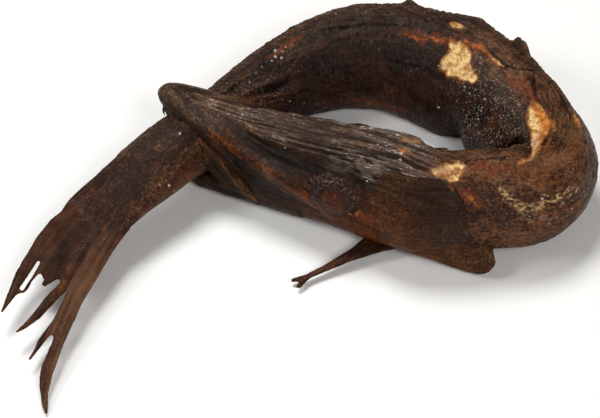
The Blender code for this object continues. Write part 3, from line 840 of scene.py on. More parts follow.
skin_along = np.arange(0, body_rows_at[-1], SKIN_STEP)
skin_angles = all_round(SKIN_SIDES)
skin, _ = body_surface(skin_along, skin_angles)
degrees = np.degrees(skin_angles)
relief, skin_looks, skin_straight = skin_look(skin_along[:, None], degrees[None, :])
# Near the tail root the skin runs out in lobes that dip under the rays of the fin.
lobe_angles = (0, 60, 90, 120, 150, 180, 200, 215, 240, 270, 300, 360)
lobe_ends = (399, 390, 390, 393, 397, 400, 402, 401, 400, 395, 395, 399)
lobes = np.interp(degrees, lobe_angles, lobe_ends)
lobes += 1.2 * np.abs(np.sin(4 * skin_angles + 0.6)) + 1.2 * ripple(degrees / 9, 0, 0, 31)
sunk = fade(skin_along[:, None], lobes - 15, lobes)
taper = np.interp(skin_along, body_rows_at, BODY_RADIUS)[:, None] / 14
relief = relief * np.clip(taper, 0.2, 1) * fade(skin_along[:, None], 400, 378)
skin += (relief * (1 - 0.8 * sunk) - 0.4 * sunk)[..., None] * grid_normals(skin)
# The highest folds of the nape are pressed flatter, and nothing goes through the floor.
skin[..., 2] -= 0.5 * np.maximum(skin[..., 2] - 39.6, 0)
skin = off_floor(skin)
skin_material = smoked_finish("smoked_fish_skin", "#0d0704", "#332217", "#825c3c", 2.5, 0.50, 0.13)
skin_cuts = [0, len(skin_along) // 3, 2 * len(skin_along) // 3, len(skin_along) - 1]
for name, start, end in zip(("head_skin", "front_skin", "rear_skin"), skin_cuts, skin_cuts[1:]):
    span = slice(start, end + 1)
    looks = {key: grid[span] for key, grid in skin_looks.items()}
    add_piece(closed_loft(name, skin[span], looks, skin_straight[span]), skin_material)

# ----------------------------------------
# Lower jaw. A closed trough of bone and dry skin under the tail, which it clamps
# against the palate. It grows out of the head below the cheek.
# ----------------------------------------
JAW_STATIONS = (
    (-2.5, 2, 1.5, 4.5),
    (2, 5, 0, 7),
    (10, 9.4, -0.4, 8.2),
    (20, 12.4, -0.5, 10.5),
    (30, 13.6, -0.6, 15),
    (45, 14.4, -0.6, 21),
    (62, 15, -0.6, 24),
)
jaw_table = np.array(JAW_STATIONS)
jaw_behind = np.arange(-2.5, 62, 0.5)
jaw_angles = all_round(160)
jaw_wide, jaw_low, jaw_high = (
    np.interp(jaw_behind, jaw_table[:, 0], jaw_table[:, i])[:, None] for i in (1, 2, 3)
)
c, s = np.cos(jaw_angles), np.sin(jaw_angles)
jaw_left = jaw_wide * bulge(c, HEAD_FULLNESS)
jaw_half = 0.5 * (jaw_high - jaw_low)
jaw_height = jaw_low + jaw_half + jaw_half * bulge(s, HEAD_FULLNESS)
jaw = head_point(jaw_behind[:, None], jaw_left, jaw_height)
jaw_place = joined(jaw_behind[:, None], jaw_left, jaw_height)
across, along, up = jaw_place[..., 1], jaw_place[..., 0], jaw_place[..., 2]
wrinkle = crests(along / 16, across / 3, up / 3, 40)
jaw_relief = 0.35 * wrinkle + 0.3 * ripple(along / 7, across / 5, up / 5, 41)
jaw_relief += 0.10 * ripple(along / 1.2, across / 1.2, up / 1.2, 42)
jaw_relief = jaw_relief * np.clip(jaw_half / 6, 0.2, 1)
jaw += jaw_relief[..., None] * grid_normals(jaw)
jaw = off_floor(jaw)
jaw_tone = 0.30 + 0.12 * ripple(along / 9, across / 6, up / 6, 43) + 0.10 * fade(up, 9, 2)
plain = {"flesh": 0, "rust": 0, "gold": 0, "gloss": 0.1, "bloom": 0.1, "blush": 0, "amber": 0.3}
jaw_looks = {**plain, "tone": jaw_tone, "warm": 0.4, "crest": 0.5 + 0.5 * jaw_relief}
add_piece(closed_loft("lower_jaw", jaw, jaw_looks, jaw_place), skin_material)

# ----------------------------------------
# Upper jaw bones, one a side. A thin channelled strap of bone under tight skin that
# slants across the tail, two fine ridges with a groove between them, fixed at the snout.
# ----------------------------------------
# Distance behind the snout, distance to the side, height, half width of the strap.
UPPER_JAW_BONE = (
    (0.5, 2, 32, 0.8),
    (5, 5.6, 30.2, 1.4),
    (12, 9.8, 27.6, 2.5),
    (19.5, 12.6, 24.2, 3.4),
    (25.5, 13.5, 19.8, 4.1),
    (31, 13.6, 14.5, 4.5),
    (37, 13.4, 9, 4.4),
    (44, 12.8, 4.5, 3.2),
)


def tube_frames(points, outwards):
    """Two directions across a path at each point: along its width, and away from the body."""
    ahead = unit(np.gradient(points, axis=0))
    widthways = unit(np.cross(ahead, outwards))
    return widthways, np.cross(widthways, ahead)


for side, name in ((1, "left_upper_jaw_bone"), (-1, "right_upper_jaw_bone")):
    way, rows = smooth_rows(UPPER_JAW_BONE, count=150)
    spine = head_point(rows[:, 0], side * rows[:, 1], rows[:, 2])
    middle = head_point(rows[:, 0], 0 * rows[:, 1], np.interp(rows[:, 0], (0, 45), (27, 14)))
    widthways, away = tube_frames(spine, spine - middle)
    angles = all_round(72)[None, :]
    share = (way / way[-1])[:, None]
    half = rows[:, 3:4] * (1 + 0.08 * ripple(way[:, None] / 6, side, 0, 44))
    thick = 1.2 * fade(share, -0.12, 0.15) * (1 - 0.45 * fade(share, 0.75, 1))
    wide = half * np.cos(angles)
    deep = np.where(np.sin(angles) > 0, thick, thick + 4.5 * fade(share, 0.05, 0.2))
    tall = deep * bulge(np.sin(angles), 0.8)
    channel = np.exp(-((np.cos(angles) / 0.42) ** 2)) * (np.sin(angles) > 0)
    channel = channel * fade(share, 0.10, 0.25) * (1 - 0.6 * fade(share, 0.6, 0.85))
    fibres = crests(way[:, None] / 14, wide / 0.7, side, 45)
    tall = tall - 0.95 * channel + 0.12 * fibres
    tall += 0.1 * ripple(way[:, None] / 1.5, wide / 1.5, side, 46)
    strap = spine[:, None] + wide[..., None] * widthways[:, None] + tall[..., None] * away[:, None]
    # The strap's two edges are painted lighter as highlights on its ridges and its channel darker
    # as shade; lit is a painted pool of light on the upper channel, painted lighter and, through
    # the rust look, redder.
    strap_tone = 0.32 + 0.20 * np.abs(np.cos(angles)) ** 4 + 0.10 * fibres - 0.1 * channel
    lit = channel * hump(share, 0.14, 0.24, 0.45, 0.62)
    looks = {
        **plain,
        "tone": strap_tone + 0.10 * lit,
        "warm": 0.45,
        "crest": 0.5 + 0.2 * fibres,
        "rust": 0.40 * lit,
        "gloss": 0.25,
    }
    add_piece(closed_loft(name, strap, looks, joined(way[:, None], wide, tall)), skin_material)

# ----------------------------------------
# Tooth at the tip of the snout. One thin dark hook hangs from the edge of the upper jaw.
# ----------------------------------------
TOOTH_PATH = ((2.4, 3.6, 30), (2, 4.1, 28.3), (2.2, 4.4, 27), (2.7, 4.5, 26))
tooth_rows = smooth_rows(TOOTH_PATH, count=20)[1]
tooth_spine = head_point(tooth_rows[:, 0], tooth_rows[:, 1], tooth_rows[:, 2])
tooth_wide, tooth_away = tube_frames(tooth_spine, head_point(1, 8, 0) - head_point(1, 0, 0))
angles = all_round(16)[None, :]
tooth_radius = np.linspace(0.75, 0.12, 20)[:, None]
tooth = tooth_spine[:, None] + (tooth_radius * np.cos(angles))[..., None] * tooth_wide[:, None]
tooth += (tooth_radius * np.sin(angles))[..., None] * tooth_away[:, None]
tooth_looks = {**plain, "tone": 0.35, "warm": 0.3, "crest": 0.5}
add_piece(closed_loft("snout_tooth", tooth, tooth_looks, tooth), skin_material)

# ----------------------------------------
# Eyes. Each has dried to a low granular dome of dull red-brown, sunk in its socket,
# with its rim painted darker as shade where it meets the socket.
# ----------------------------------------
EYE_PLACE = (74.8, 15.4, 24.7)
EYE_HALF_SIZES = (10.4, 7.9, 4.4)
EYE_RISE = math.radians(24)
eye_material = smoked_finish("dried_eye", "#0f0706", "#33190f", "#937769", 1, 0.34, 0.2)
for side, name in ((1, "left_eye"), (-1, "right_eye")):
    tilt = np.linspace(0.02, math.pi - 0.02, 90)[:, None]
    angles = all_round(150)[None, :]
    lengthways = EYE_HALF_SIZES[0] * np.sin(tilt) * np.cos(angles)
    upwards = EYE_HALF_SIZES[1] * np.sin(tilt) * np.sin(angles)
    outwards = EYE_HALF_SIZES[2] * np.cos(tilt) + 0 * angles
    behind = EYE_PLACE[0] + lengthways
    left = side * (EYE_PLACE[1] + outwards * math.cos(EYE_RISE) - upwards * math.sin(EYE_RISE))
    height = EYE_PLACE[2] + outwards * math.sin(EYE_RISE) + upwards * math.cos(EYE_RISE)
    dome = head_point(behind, left, height)
    grit = 0.5 * ripple(lengthways / 1.3, upwards / 1.3, outwards / 1.3, 50)
    grit += 0.5 * ripple(lengthways / 0.7, upwards / 0.7, outwards / 0.7, 51)
    bumps = 0.5 * grit + 0.5 * ripple(lengthways / 5, upwards / 5, 0, 52)
    dome += bumps[..., None] * grid_normals(dome)
    # Painted shade round the edge of the dome, where it meets the socket.
    painted_rim_shade = fade(np.abs(tilt - 0.5 * math.pi), 0.55, 0.15)
    redness = fade(np.hypot(lengthways - 2, upwards + 2.5), 7, 3)
    looks = {
        **plain,
        "tone": 0.36 + 0.24 * grit - 0.2 * painted_rim_shade + 0.02 * redness,
        "warm": 0.5 + 0.5 * redness,
        "crest": 0.5 + 0.3 * grit,
        "gloss": 0.5,
        "bloom": 0.4 - 0.35 * redness,
        "blush": 0.55 * redness,
    }
    place = joined(lengthways, upwards, outwards)
    add_piece(closed_loft(name, dome, looks, place), eye_material)

# ----------------------------------------
# Gill covers. A stiff curved plate of bone in skin each side, which grows out of the
# cheek and runs back over the trunk; its free lower corner has sprung away from it.
# ----------------------------------------
GILL_COVER_FRONT = 80
# Rear edge behind the snout, by angle round the head, side (0), back (+), belly (-).
LEFT_GILL_EDGE = (
    (-66, 116), (-62, 124), (-56, 130.5), (-48, 134), (-38, 134.6),
    (-28, 131.8), (-16, 127.6), (0, 125), (20, 124), (35, 122), (50, 118),
    (62, 112),
)
RIGHT_GILL_EDGE = (
    (-66, 106), (-58, 113), (-46, 116), (-34, 116), (-16, 114),
    (0, 111), (20, 105),
)
# How the covers bend with the trunk, towards the fish's right.
GILL_COVER_BEND = ((100, 0), (106, 1.3), (114, 4.5), (124, 9.8), (132, 14.5))
head_table = np.array(HEAD_STATIONS)
for side, name, edge in (
    (1, "left_gill_cover", LEFT_GILL_EDGE), (-1, "right_gill_cover", RIGHT_GILL_EDGE),
):
    edge = np.array(edge)
    angles = np.linspace(edge[0, 0], edge[-1, 0], 230)[:, None]
    column = np.linspace(0, 1, 140)[None, :]
    rear = np.interp(angles, edge[:, 0], edge[:, 1]) + 0.8 * ripple(angles / 9, side, 0, 60)
    behind = GILL_COVER_FRONT + (rear - GILL_COVER_FRONT) * column
    at = np.minimum(behind, 96)
    wide, low, high = (np.interp(at, head_table[:, 0], head_table[:, i]) for i in (1, 2, 3))
    sunk = np.interp(column, (0, 0.45, 1), (-2.8, 0, 0)) + 0 * angles
    shift = np.interp(behind, *np.transpose(GILL_COVER_BEND)) * fade(angles, -60, -20)
    c, s = np.cos(np.radians(angles)), np.sin(np.radians(angles))
    turn = np.where(side > 0, angles % 360, 180 - angles)
    cover_relief, looks, place = skin_look(behind + 1.5, turn + 0 * behind)
    cover_relief = 0.6 * cover_relief * fade(column, 1, 0.8)
    cover_relief += 0.25 * ripple(behind / 6, angles / 14, 0, 61)
    rays = crests(0.25 * column, angles / 5 + 0.5 * ripple(behind / 9, angles / 9, 0, 62), 0, 63)
    cover_relief += 0.18 * rays * fade(column, 0.4, 0.6)
    rooted = fade(angles, -42, -18)
    thickness = 0.9 + 3.4 * rooted + 0 * column
    roll = np.sqrt(np.clip((1 - column) / 0.03, 0, 1))
    faces = []
    for stand in (1.2 + cover_relief - 0.45 * (1 - roll), 1.2 - thickness + 0.45 * (1 - roll)):
        stand = stand - 0.75 * fade(angles, -12, -40) * fade(behind, 88, 102)
        out = (wide + sunk + stand) * c**HEAD_FULLNESS
        half = 0.5 * (high - low) + sunk + stand
        height = 0.5 * (high + low) + half * bulge(s, HEAD_FULLNESS)
        faces.append(head_point(behind, side * out - shift, height))
    cover = off_floor(np.concatenate((faces[0], faces[1][:, ::-1]), axis=1))
    tip = fade(behind, 112, 124)
    low_edge = fade(angles, -20, -48) * fade(behind, 128, 96)
    even = 0.57 + 0.20 * low_edge - 0.06 * fade(angles, 0, 24)
    even = even + 0.08 * ripple(behind / 9, angles / 20, 0, 64) + 0.07 * tip
    even = even - 0.26 * fade(behind, 100, 112) * fade(angles, -26, -6)
    looks["tone"] = 0.35 * looks["tone"] + 0.65 * even + 0.04 * rays
    looks["warm"] = 0.3 * looks["warm"] + 0.38
    looks["crest"] = 0.4 + 0.2 * looks["crest"]
    looks["blush"] *= 0.3
    looks["amber"] = 1 - 0.6 * tip
    looks["flesh"] *= behind < 95
    looks = {key: np.concatenate((grid, grid[:, ::-1]), axis=1) for key, grid in looks.items()}
    place = np.concatenate((place, place[:, ::-1]), axis=1)
    add_piece(closed_loft(name, cover, looks, place), skin_material)

# ----------------------------------------
# Tail fin. A thin web on a fan of fine rays, dried stiff and broken back into long
# points, with a slot worn through it. Its inner edge is painted as a paler strip, the lit side of
# its fold, and a dark streak is painted down the fold's groove as shade.
# ----------------------------------------
FIN_ROOT = (-72.4, -4.1, 15)
FIN_TIP = (-84.7, -83.1, 1.1)
FIN_LEFT_TIP = (-103.3, -45.8, 9)
FIN_OUTLINE = (
    (-6, 9), (0.3, 13.6), (4.3, 16.2), (13.2, 19.6), (28.3, 23.2), (45.2, 24.6),
    (45.8, 24.3), (45, 23.9), (37.2, 20.8), (36.3, 19.9), (35.8, 18.3), (34.2, 17.6),
    (31.1, 17), (27.8, 15.5), (27.1, 14.7), (29.5, 12.9), (31.5, 13.3), (32.1, 12),
    (28.6, 8.5), (28.5, 7.7), (29.6, 7.1), (37.5, 11.2), (43.5, 13.4), (52.2, 17.7),
    (51.9, 16.8), (49.4, 14.1), (45.1, 10.8), (35.2, 6), (32.4, 4.4), (32.5, 3.9),
    (45.4, 6.4), (53.8, 9.5), (56.6, 9.7), (61.3, 10.9), (62.1, 10.8), (61.6, 10.2),
    (51.1, 5.9), (50.8, 5.3), (51.4, 4.6), (53.5, 4.5), (63.6, 5.9), (68.1, 5.6),
    (71.8, 4.7), (78.6, 2.2), (81.7, -0.1), (72.7, 1.4), (66.1, 1.5), (53, 0.3),
    (36.3, -2.3), (11.6, -8.9), (2.7, -12.3), (-6, -11),
)
FIN_SLOT = (
    (22.5, 16.8), (22.4, 16.4), (23, 15.8), (23.9, 15.9), (35.1, 19), (35.4, 19.4),
    (34.9, 20.3), (34, 20.5),
)
FIN_RAYS = 40


def plane_frame(root, ahead, sideways):
    """Rows X, Y, Z of a plane whose X runs from root to ahead, Y on the side of sideways."""
    root, ahead, sideways = (np.array(p, float) for p in (root, ahead, sideways))
    x_axis = unit(ahead - root)
    z_axis = unit(np.cross(x_axis, sideways - root))
    return np.array((x_axis, np.cross(z_axis, x_axis), z_axis))


def web_mesh(depth_at, reach, step, surface):
    """A closed thin web. depth_at gives the distance inside its outline, reach the corners
    of the area, and surface the middle line and half thickness at each place."""
    (low_x, low_y), (high_x, high_y) = reach
    x, y = np.arange(low_x, high_x, step), np.arange(low_y, high_y, step)
    x, y = np.meshgrid(x, y, indexing="ij")
    count, rows = x.shape
    x, y = x.ravel(), y.ravel()
    inside = depth_at(x, y) > -0.45 * step
    index = np.arange(count * rows).reshape(count, rows)
    a, b, c, d = index[:-1, :-1], index[1:, :-1], index[1:, 1:], index[:-1, 1:]
    tris = np.concatenate([np.stack(t, axis=-1).reshape(-1, 3) for t in ((a, b, c), (a, c, d))])
    tris = tris[inside[tris].all(axis=1)]
    while True:
        # Leave only edges and corners that two sides of one web can close on.
        edges = np.concatenate((tris[:, :2], tris[:, 1:], tris[:, ::2]))
        edges = np.sort(edges, axis=1)
        keys, back, times = np.unique(edges, axis=0, return_inverse=True, return_counts=True)
        rim = keys[times == 1]
        meets = np.bincount(rim.ravel(), minlength=count * rows)
        spikes = (times[back.ravel()] == 1).reshape(3, -1).sum(axis=0) >= 2
        bad = spikes | (meets[tris] > 2).any(axis=1)
        if not bad.any():
            break
        tris = tris[~bad]
    on_rim = np.zeros(count * rows, bool)
    on_rim[rim.ravel()] = True
    for _ in range(2):
        at = np.flatnonzero(on_rim)
        here = depth_at(x[at], y[at])
        slope_x = (depth_at(x[at] + 0.05, y[at]) - here) / 0.05
        slope_y = (depth_at(x[at], y[at] + 0.05) - here) / 0.05
        size = np.maximum(slope_x**2 + slope_y**2, 0.3)
        move = np.clip(here, -step, 1.2 * step) / size
        x[at] -= move * slope_x
        y[at] -= move * slope_y
    used, tris = np.unique(tris, return_inverse=True)
    tris = tris.reshape(-1, 3)
    x, y, on_rim = x[used], y[used], on_rim[used]
    depth = np.where(on_rim, 0, np.maximum(depth_at(x, y), 0.05))
    middle, half = surface(x, y, depth)
    total = len(x)
    renumber = np.full(count * rows, -1)
    renumber[used] = np.arange(total)
    faces = tris.tolist() + (tris[:, ::-1] + total).tolist()
    directed = {(p, q) for t in tris.tolist() for p, q in zip(t, t[1:] + t[:1])}
    for p, q in renumber[rim].tolist():
        p, q = (p, q) if (p, q) in directed else (q, p)
        faces.append([q, p, p + total, q + total])
    two_faces = np.concatenate((middle + half, middle - half))
    return np.stack((np.tile(x, 2), np.tile(y, 2), two_faces), axis=1), faces


def tail_depth(x, y):
    worn = 0.10 * ripple(x / 1.1, y / 1.1, 0, 70) + 0.12 * ripple(x / 4, y / 4, 0, 71)
    return np.minimum(outline_depth(x, y, FIN_OUTLINE), -outline_depth(x, y, FIN_SLOT)) + worn


# The fan's edges: along the fin and across it.
FAN_INNER = (
    (-6, -10.5), (0, -12.7), (11, -8.8), (23, -5.8), (34, -2.9), (46, -0.9), (60, 0.4), (82, 0.2),
)
FAN_OUTER = ((-6, 10.5), (0, 13.8), (9, 18), (19, 21.4), (34, 23.2), (46, 24.8), (82, 28))


def fan_edges(x):
    """Inner edge and width of the fan of rays."""
    inner, outer = (np.interp(x, *np.transpose(edge)) for edge in (FAN_INNER, FAN_OUTER))
    return inner, outer - inner


def tail_fan(x, y):
    """Share of the way across the fan of rays, from its inner edge (0) to its outer (1)."""
    inner, wide = fan_edges(x)
    return (y - inner) / wide


def tail_middle(x, y):
    """How far the dried web has warped out of its plane."""
    warp = 0.6 * ripple(x / 30, y / 8, 0, 72) + 0.35 * ripple(x / 12, y / 3.5, 0, 73)
    groove = np.exp(-(((tail_fan(x, y) - 0.56) / 0.10) ** 2)) * fade(x, 4, 14)
    return (warp - 0.5 * groove) * fade(x, -4, 10)


def tail_surface(x, y, depth):
    fan = tail_fan(x, y) * FIN_RAYS
    ribs = crests(x / 60, fan / 3, 0, 74) * 0.16 + 0.06 * np.cos(2 * math.pi * fan)
    pits = 0.10 * ripple(x / 1.4, y, 0, 75)
    half = 0.10 + 0.42 * np.sqrt(np.clip(depth / 1.4, 0, 1)) * (1 - 0.35 * fade(x, 10, 60))
    rough = np.clip(depth, 0, 1)
    return tail_middle(x, y) + 0.5 * (ribs + pits) * rough, half + 0.5 * (ribs + pits) * rough


fin_material = smoked_finish("dried_fin_web", "#100906", "#352116", "#745239", 9, 0.55, 0.08)
fin_axes = plane_frame(FIN_ROOT, FIN_TIP, FIN_LEFT_TIP)
fin_origin = np.array(FIN_ROOT) - FLOOR_MIDDLE
flat, faces = web_mesh(tail_depth, ((-7, -14), (82.5, 26.5)), 0.34, tail_surface)
fan = tail_fan(flat[:, 0], flat[:, 1])
# Painted light and shade of the fold: a dark streak down its groove, a paler strip along the inner
# edge.
painted_fold_shade = np.exp(-(((fan - 0.56) / 0.12) ** 2)) * fade(flat[:, 0], 34, 24)
painted_fold_light = fade(fan, 0.34, 0.26) * fade(flat[:, 0], 2, 14)
fin_tone = 0.46 + 0.16 * ripple(flat[:, 0] / 18, fan * 5, 0, 76) - 0.30 * painted_fold_shade
fin_tone += 0.16 * painted_fold_light + 0.06 * fade(flat[:, 0], 30, 50)
fin_looks = {
    "tone": fin_tone,
    "warm": 0.55 - 0.2 * painted_fold_light + 0.3 * ripple(flat[:, 0] / 14, fan * 6, 0, 77),
    "crest": 0.5 + 0.3 * crests(flat[:, 0] / 60, fan * FIN_RAYS / 3, 0, 74),
    "bloom": 0.12 + 0.5 * np.exp(-(((fan - 0.40) / 0.06) ** 2)) * fade(flat[:, 0], 46, 34),
    "rust": 0.35 * np.exp(-(((fan - 0.38) / 0.05) ** 2)) * fade(flat[:, 0], 20, 28)
    * fade(flat[:, 0], 40, 32),
    "blush": 0.3 * fade(ripple(flat[:, 0] / 12, fan * 4, 0, 79), 0, 0.4) * fade(fan, 0.3, 0.5),
}
place = np.stack((flat[:, 0], fan * FIN_RAYS * 1.1, 0 * fan), axis=1)
points = off_floor(fin_origin + flat @ fin_axes)
add_piece(finished_mesh("tail_fin", points, faces, fin_looks, place), fin_material)

# The rays themselves: thin round rods half sunk in the web, tapering to their tips.
# Each is swept along a line of points that follows the fan, over every stretch of web.
ray_points, ray_edges = [], []
for number in range(1, FIN_RAYS):
    run = np.arange(2, 80, 0.9)
    share = (number + 0.25 * ripple(run / 9, number * 3.1, 0, 78)) / FIN_RAYS
    inner, wide = fan_edges(run)
    side = inner + share * wide
    keep = tail_depth(run, side) > 0.45
    middle, half = tail_surface(run, side, np.maximum(tail_depth(run, side), 0))
    for lift in (middle + half - 0.06, middle - half + 0.06):
        line = fin_origin + np.stack((run, side, lift), axis=1) @ fin_axes
        start = len(ray_points)
        ray_points += (line * MM).tolist()
        both = np.flatnonzero(keep[:-1] & keep[1:]) + start
        ray_edges += [(int(i), int(i) + 1) for i in both]


def nodes_modifier(name, source, build, material, settings):
    """The plain mesh that a Geometry Nodes tree makes from a mesh. build(tree, inputs)
    gives its geometry, which ends as plain faces of the material; settings are the
    tree's named number inputs."""
    tree = bpy.data.node_groups.new(name, "GeometryNodeTree")
    tree.interface.new_socket("Geometry", in_out="INPUT", socket_type="NodeSocketGeometry")
    for key in settings:
        tree.interface.new_socket(key, in_out="INPUT", socket_type="NodeSocketFloat")
    tree.interface.new_socket("Geometry", in_out="OUTPUT", socket_type="NodeSocketGeometry")
    inputs = tree.nodes.new("NodeGroupInput").outputs
    result = build(tree, inputs)
    result = add_node(tree, "GeometryNodeRealizeInstances", {0: result}).outputs[0]
    result = {"Geometry": result, "Material": material}
    result = add_node(tree, "GeometryNodeSetMaterial", result).outputs[0]
    add_node(tree, "NodeGroupOutput", {0: result})
    carrier = bpy.data.objects.new(name, source)
    bpy.context.scene.collection.objects.link(carrier)
    modifier = carrier.modifiers.new(name, "NODES")
    modifier.node_group = tree
    for item in tree.interface.items_tree:
        if item.in_out == "INPUT" and item.name in settings:
            modifier[item.identifier] = float(settings[item.name])
    evaluated = carrier.evaluated_get(bpy.context.evaluated_depsgraph_get())
    mesh = bpy.data.meshes.new_from_object(evaluated)
    mesh.name = name
    carrier.modifiers.clear()
    bpy.data.objects.remove(carrier)
    mesh.shade_smooth()
    return mesh


def ray_tree(tree, inputs):
    curve = add_node(tree, "GeometryNodeMeshToCurve", {0: inputs["Geometry"]}).outputs[0]
    share = add_node(tree, "GeometryNodeSplineParameter").outputs["Factor"]
    taper = {"Value": share, 3: inputs["root radius"], 4: inputs["tip radius"]}
    radius = add_node(tree, "ShaderNodeMapRange", taper).outputs[0]
    curve = {"Curve": curve, "Radius": radius}
    curve = add_node(tree, "GeometryNodeSetCurveRadius", curve).outputs[0]
    ring = {"Resolution": 6, "Radius": 1}
    ring = add_node(tree, "GeometryNodeCurvePrimitiveCircle", ring).outputs[0]
    rods = {"Curve": curve, "Profile Curve": ring, "Scale": radius, "Fill Caps": True}
    return add_node(tree, "GeometryNodeCurveToMesh", rods).outputs[0]


# Horny fin rays: translucent brown horn, a little shinier than the web.
ray_colours = ("#2a190f", "#60422d", 0.35, 0.68)
ray_material = cloudy_finish("dried_fin_rays", 5, 4, ray_colours, 0.5, 0.1)
ray_lines = bpy.data.meshes.new("fin_ray_lines")
ray_lines.from_pydata(ray_points, ray_edges, [])
ray_settings = {"root radius": 0.15 * MM, "tip radius": 0.08 * MM}
rays = nodes_modifier("tail_fin_rays", ray_lines, ray_tree, ray_material, ray_settings)
add_piece(rays, ray_material)

# ----------------------------------------
# Belly fins. Small fans of dry web whose rays have stuck together into a stalk that
# ends in a short fork; they hang from the throat and touch the floor.
# ----------------------------------------
BELLY_FIN_OUTLINE = (
    (-9, -9), (-2, -8.2), (6, -5.6), (14, -3.6), (24, -2), (30, -1.3),
    (32.4, -1.9), (35.6, -2.9), (36.2, -1.6), (34.4, -0.5), (34.4, 0.3), (36.2, 1.4),
    (35.4, 2.6), (32, 1.5), (30, 1), (20, 0.9), (10, 1.3), (4, 2.4),
    (-1, 5.5), (-7, 8),
)


def belly_depth(x, y):
    return outline_depth(x, y, BELLY_FIN_OUTLINE) + 0.15 * ripple(x / 2, y / 2, 0, 80)


def belly_surface(x, y, depth):
    fibres = crests(x / 18, y / 0.8, 0, 81)
    bow = 0.3 * ripple(x / 10, y / 4, 0, 82)
    half = 0.10 + 0.62 * np.sqrt(np.clip(depth / 1.1, 0, 1)) * (1 - 0.4 * fade(-y, 2, 5))
    return bow + 0.05 * fibres, half + 0.07 * fibres * np.clip(depth, 0, 1)


for name, root, tip in (
    ("left_belly_fin", (27.7, -4.6, 5), (-0.4, -23.4, 2)),
    ("right_belly_fin", (38, 19.5, 5), (26, 45.5, 1.6)),
):
    level = (root[0] + tip[1] - root[1], root[1] - tip[0] + root[0], root[2])
    axes = plane_frame(root, tip, level)
    flat, faces = web_mesh(belly_depth, ((-10, -9.5), (37.5, 9.5)), 0.3, belly_surface)
    points = off_floor(np.array(root) - FLOOR_MIDDLE + flat @ axes)
    x, y = flat[:, 0], flat[:, 1]
    looks = {
        "tone": 0.30 + 0.25 * fade(x, 6, 26) + 0.15 * ripple(x / 9, y / 2, 0, 83),
        "warm": 0.35,
        "crest": 0.5 + 0.3 * crests(x / 18, y / 0.8, 0, 81),
    }
    add_piece(finished_mesh(name, points, faces, looks, flat), fin_material)

# ----------------------------------------
# Stumps of the back fin. What smoking and handling left of the fin's rays: a low torn
# ridge of skin along the back with a few taller snags.
# ----------------------------------------
# Share of the way along the trunk, and height above the back.
BACK_FIN = (
    (0.235, -1.6), (0.25, 0.2), (0.275, 0.8), (0.30, 0.4), (0.32, -0.2), (0.350, 0.2),
    (0.364, 2.9), (0.377, 2.9), (0.380, 0.4), (0.39, 0), (0.412, 0.8), (0.425, 1.9), (0.44, 0.9),
    (0.46, -0.1), (0.485, -0.4), (0.493, 0.6), (0.50, 2.6), (0.507, 0.2), (0.53, -0.3),
    (0.553, 0.3), (0.562, -0.3), (0.60, -0.4), (0.65, -1.6),
)
# The trunk's own measure starts inside the head; its first station is 72 mm behind the snout.
trunk_rows = np.vstack(((28, 7, 18.5, 15, 15, 16, 17, 0), TRUNK_STATIONS))
trunk_rows[:, :3] -= FLOOR_MIDDLE
trunk_way, trunk_read = smooth_rows(trunk_rows, count=1200)
fin_share, fin_height = np.transpose(BACK_FIN)
share = trunk_way / trunk_way[-1]
heading = unit(np.gradient(trunk_read[:, :3], axis=0))
outwards = unit(np.cross(heading, (0, 0, 1)))
upwards = np.cross(outwards, heading)
lean = np.radians(trunk_read[:, 7:8])
flank = outwards * np.cos(lean) - upwards * np.sin(lean)
back = upwards * np.cos(lean) + outwards * np.sin(lean)
use = (share > fin_share[0]) & (share < fin_share[-1])
way = trunk_way[use][:, None]
snag = np.interp(share[use], fin_share, fin_height)[:, None]
snag += 0.35 * crests(way / 2.2, 0, 0, 90) + 0.3 * ripple(way / 0.9, 0, 0, 91)
snag = np.minimum(snag, np.interp(share[use], fin_share, fin_height)[:, None] + 0.3)
step = np.array((0, 0.25, 0.5, 0.75, 1, 1, 0.75, 0.5, 0.25, 0))[None, :]
which = np.array((1, 1, 1, 1, 1, -1, -1, -1, -1, -1))[None, :]
rise = -3 + (snag + 3) * step
half = 1.5 - 1.15 * step**0.7 + 0.15 * ripple(way / 1.5, 3 * step, which, 92)
spine = trunk_read[use][:, :3] + trunk_read[use][:, 5:6] * back[use]
ridge = spine[:, None] + rise[..., None] * back[use][:, None]
ridge += (which * half)[..., None] * flank[use][:, None]
looks = {
    **plain,
    "tone": 0.28 + 0.25 * step + 0.2 * ripple(way / 3, step, which, 93),
    "warm": 0.4,
    "crest": 0.35 + 0.3 * step,
}
place = joined(way, which * half, rise)
add_piece(closed_loft("back_fin_stumps", ridge, looks, place), skin_material)

# ----------------------------------------
# Salt and crumbs. Brine dried into grains on the skin, thickest inside the bend, and
# short shreds of flesh and skin stand up round the torn places.
# ----------------------------------------
# Half-clear grains: dull, with a slight wet gloss.
salt_grain = cloudy_finish("dried_salt", 2, 2, ("#665a50", "#c9beb2", 0, 1), 0.42)
# Dry fibre: matt, without gloss.
shred_colours = ("#a5652f", "#e3bd84", 0, 1)
shred_material = cloudy_finish("torn_flesh_shreds", 3, 2, shred_colours, 0.7)


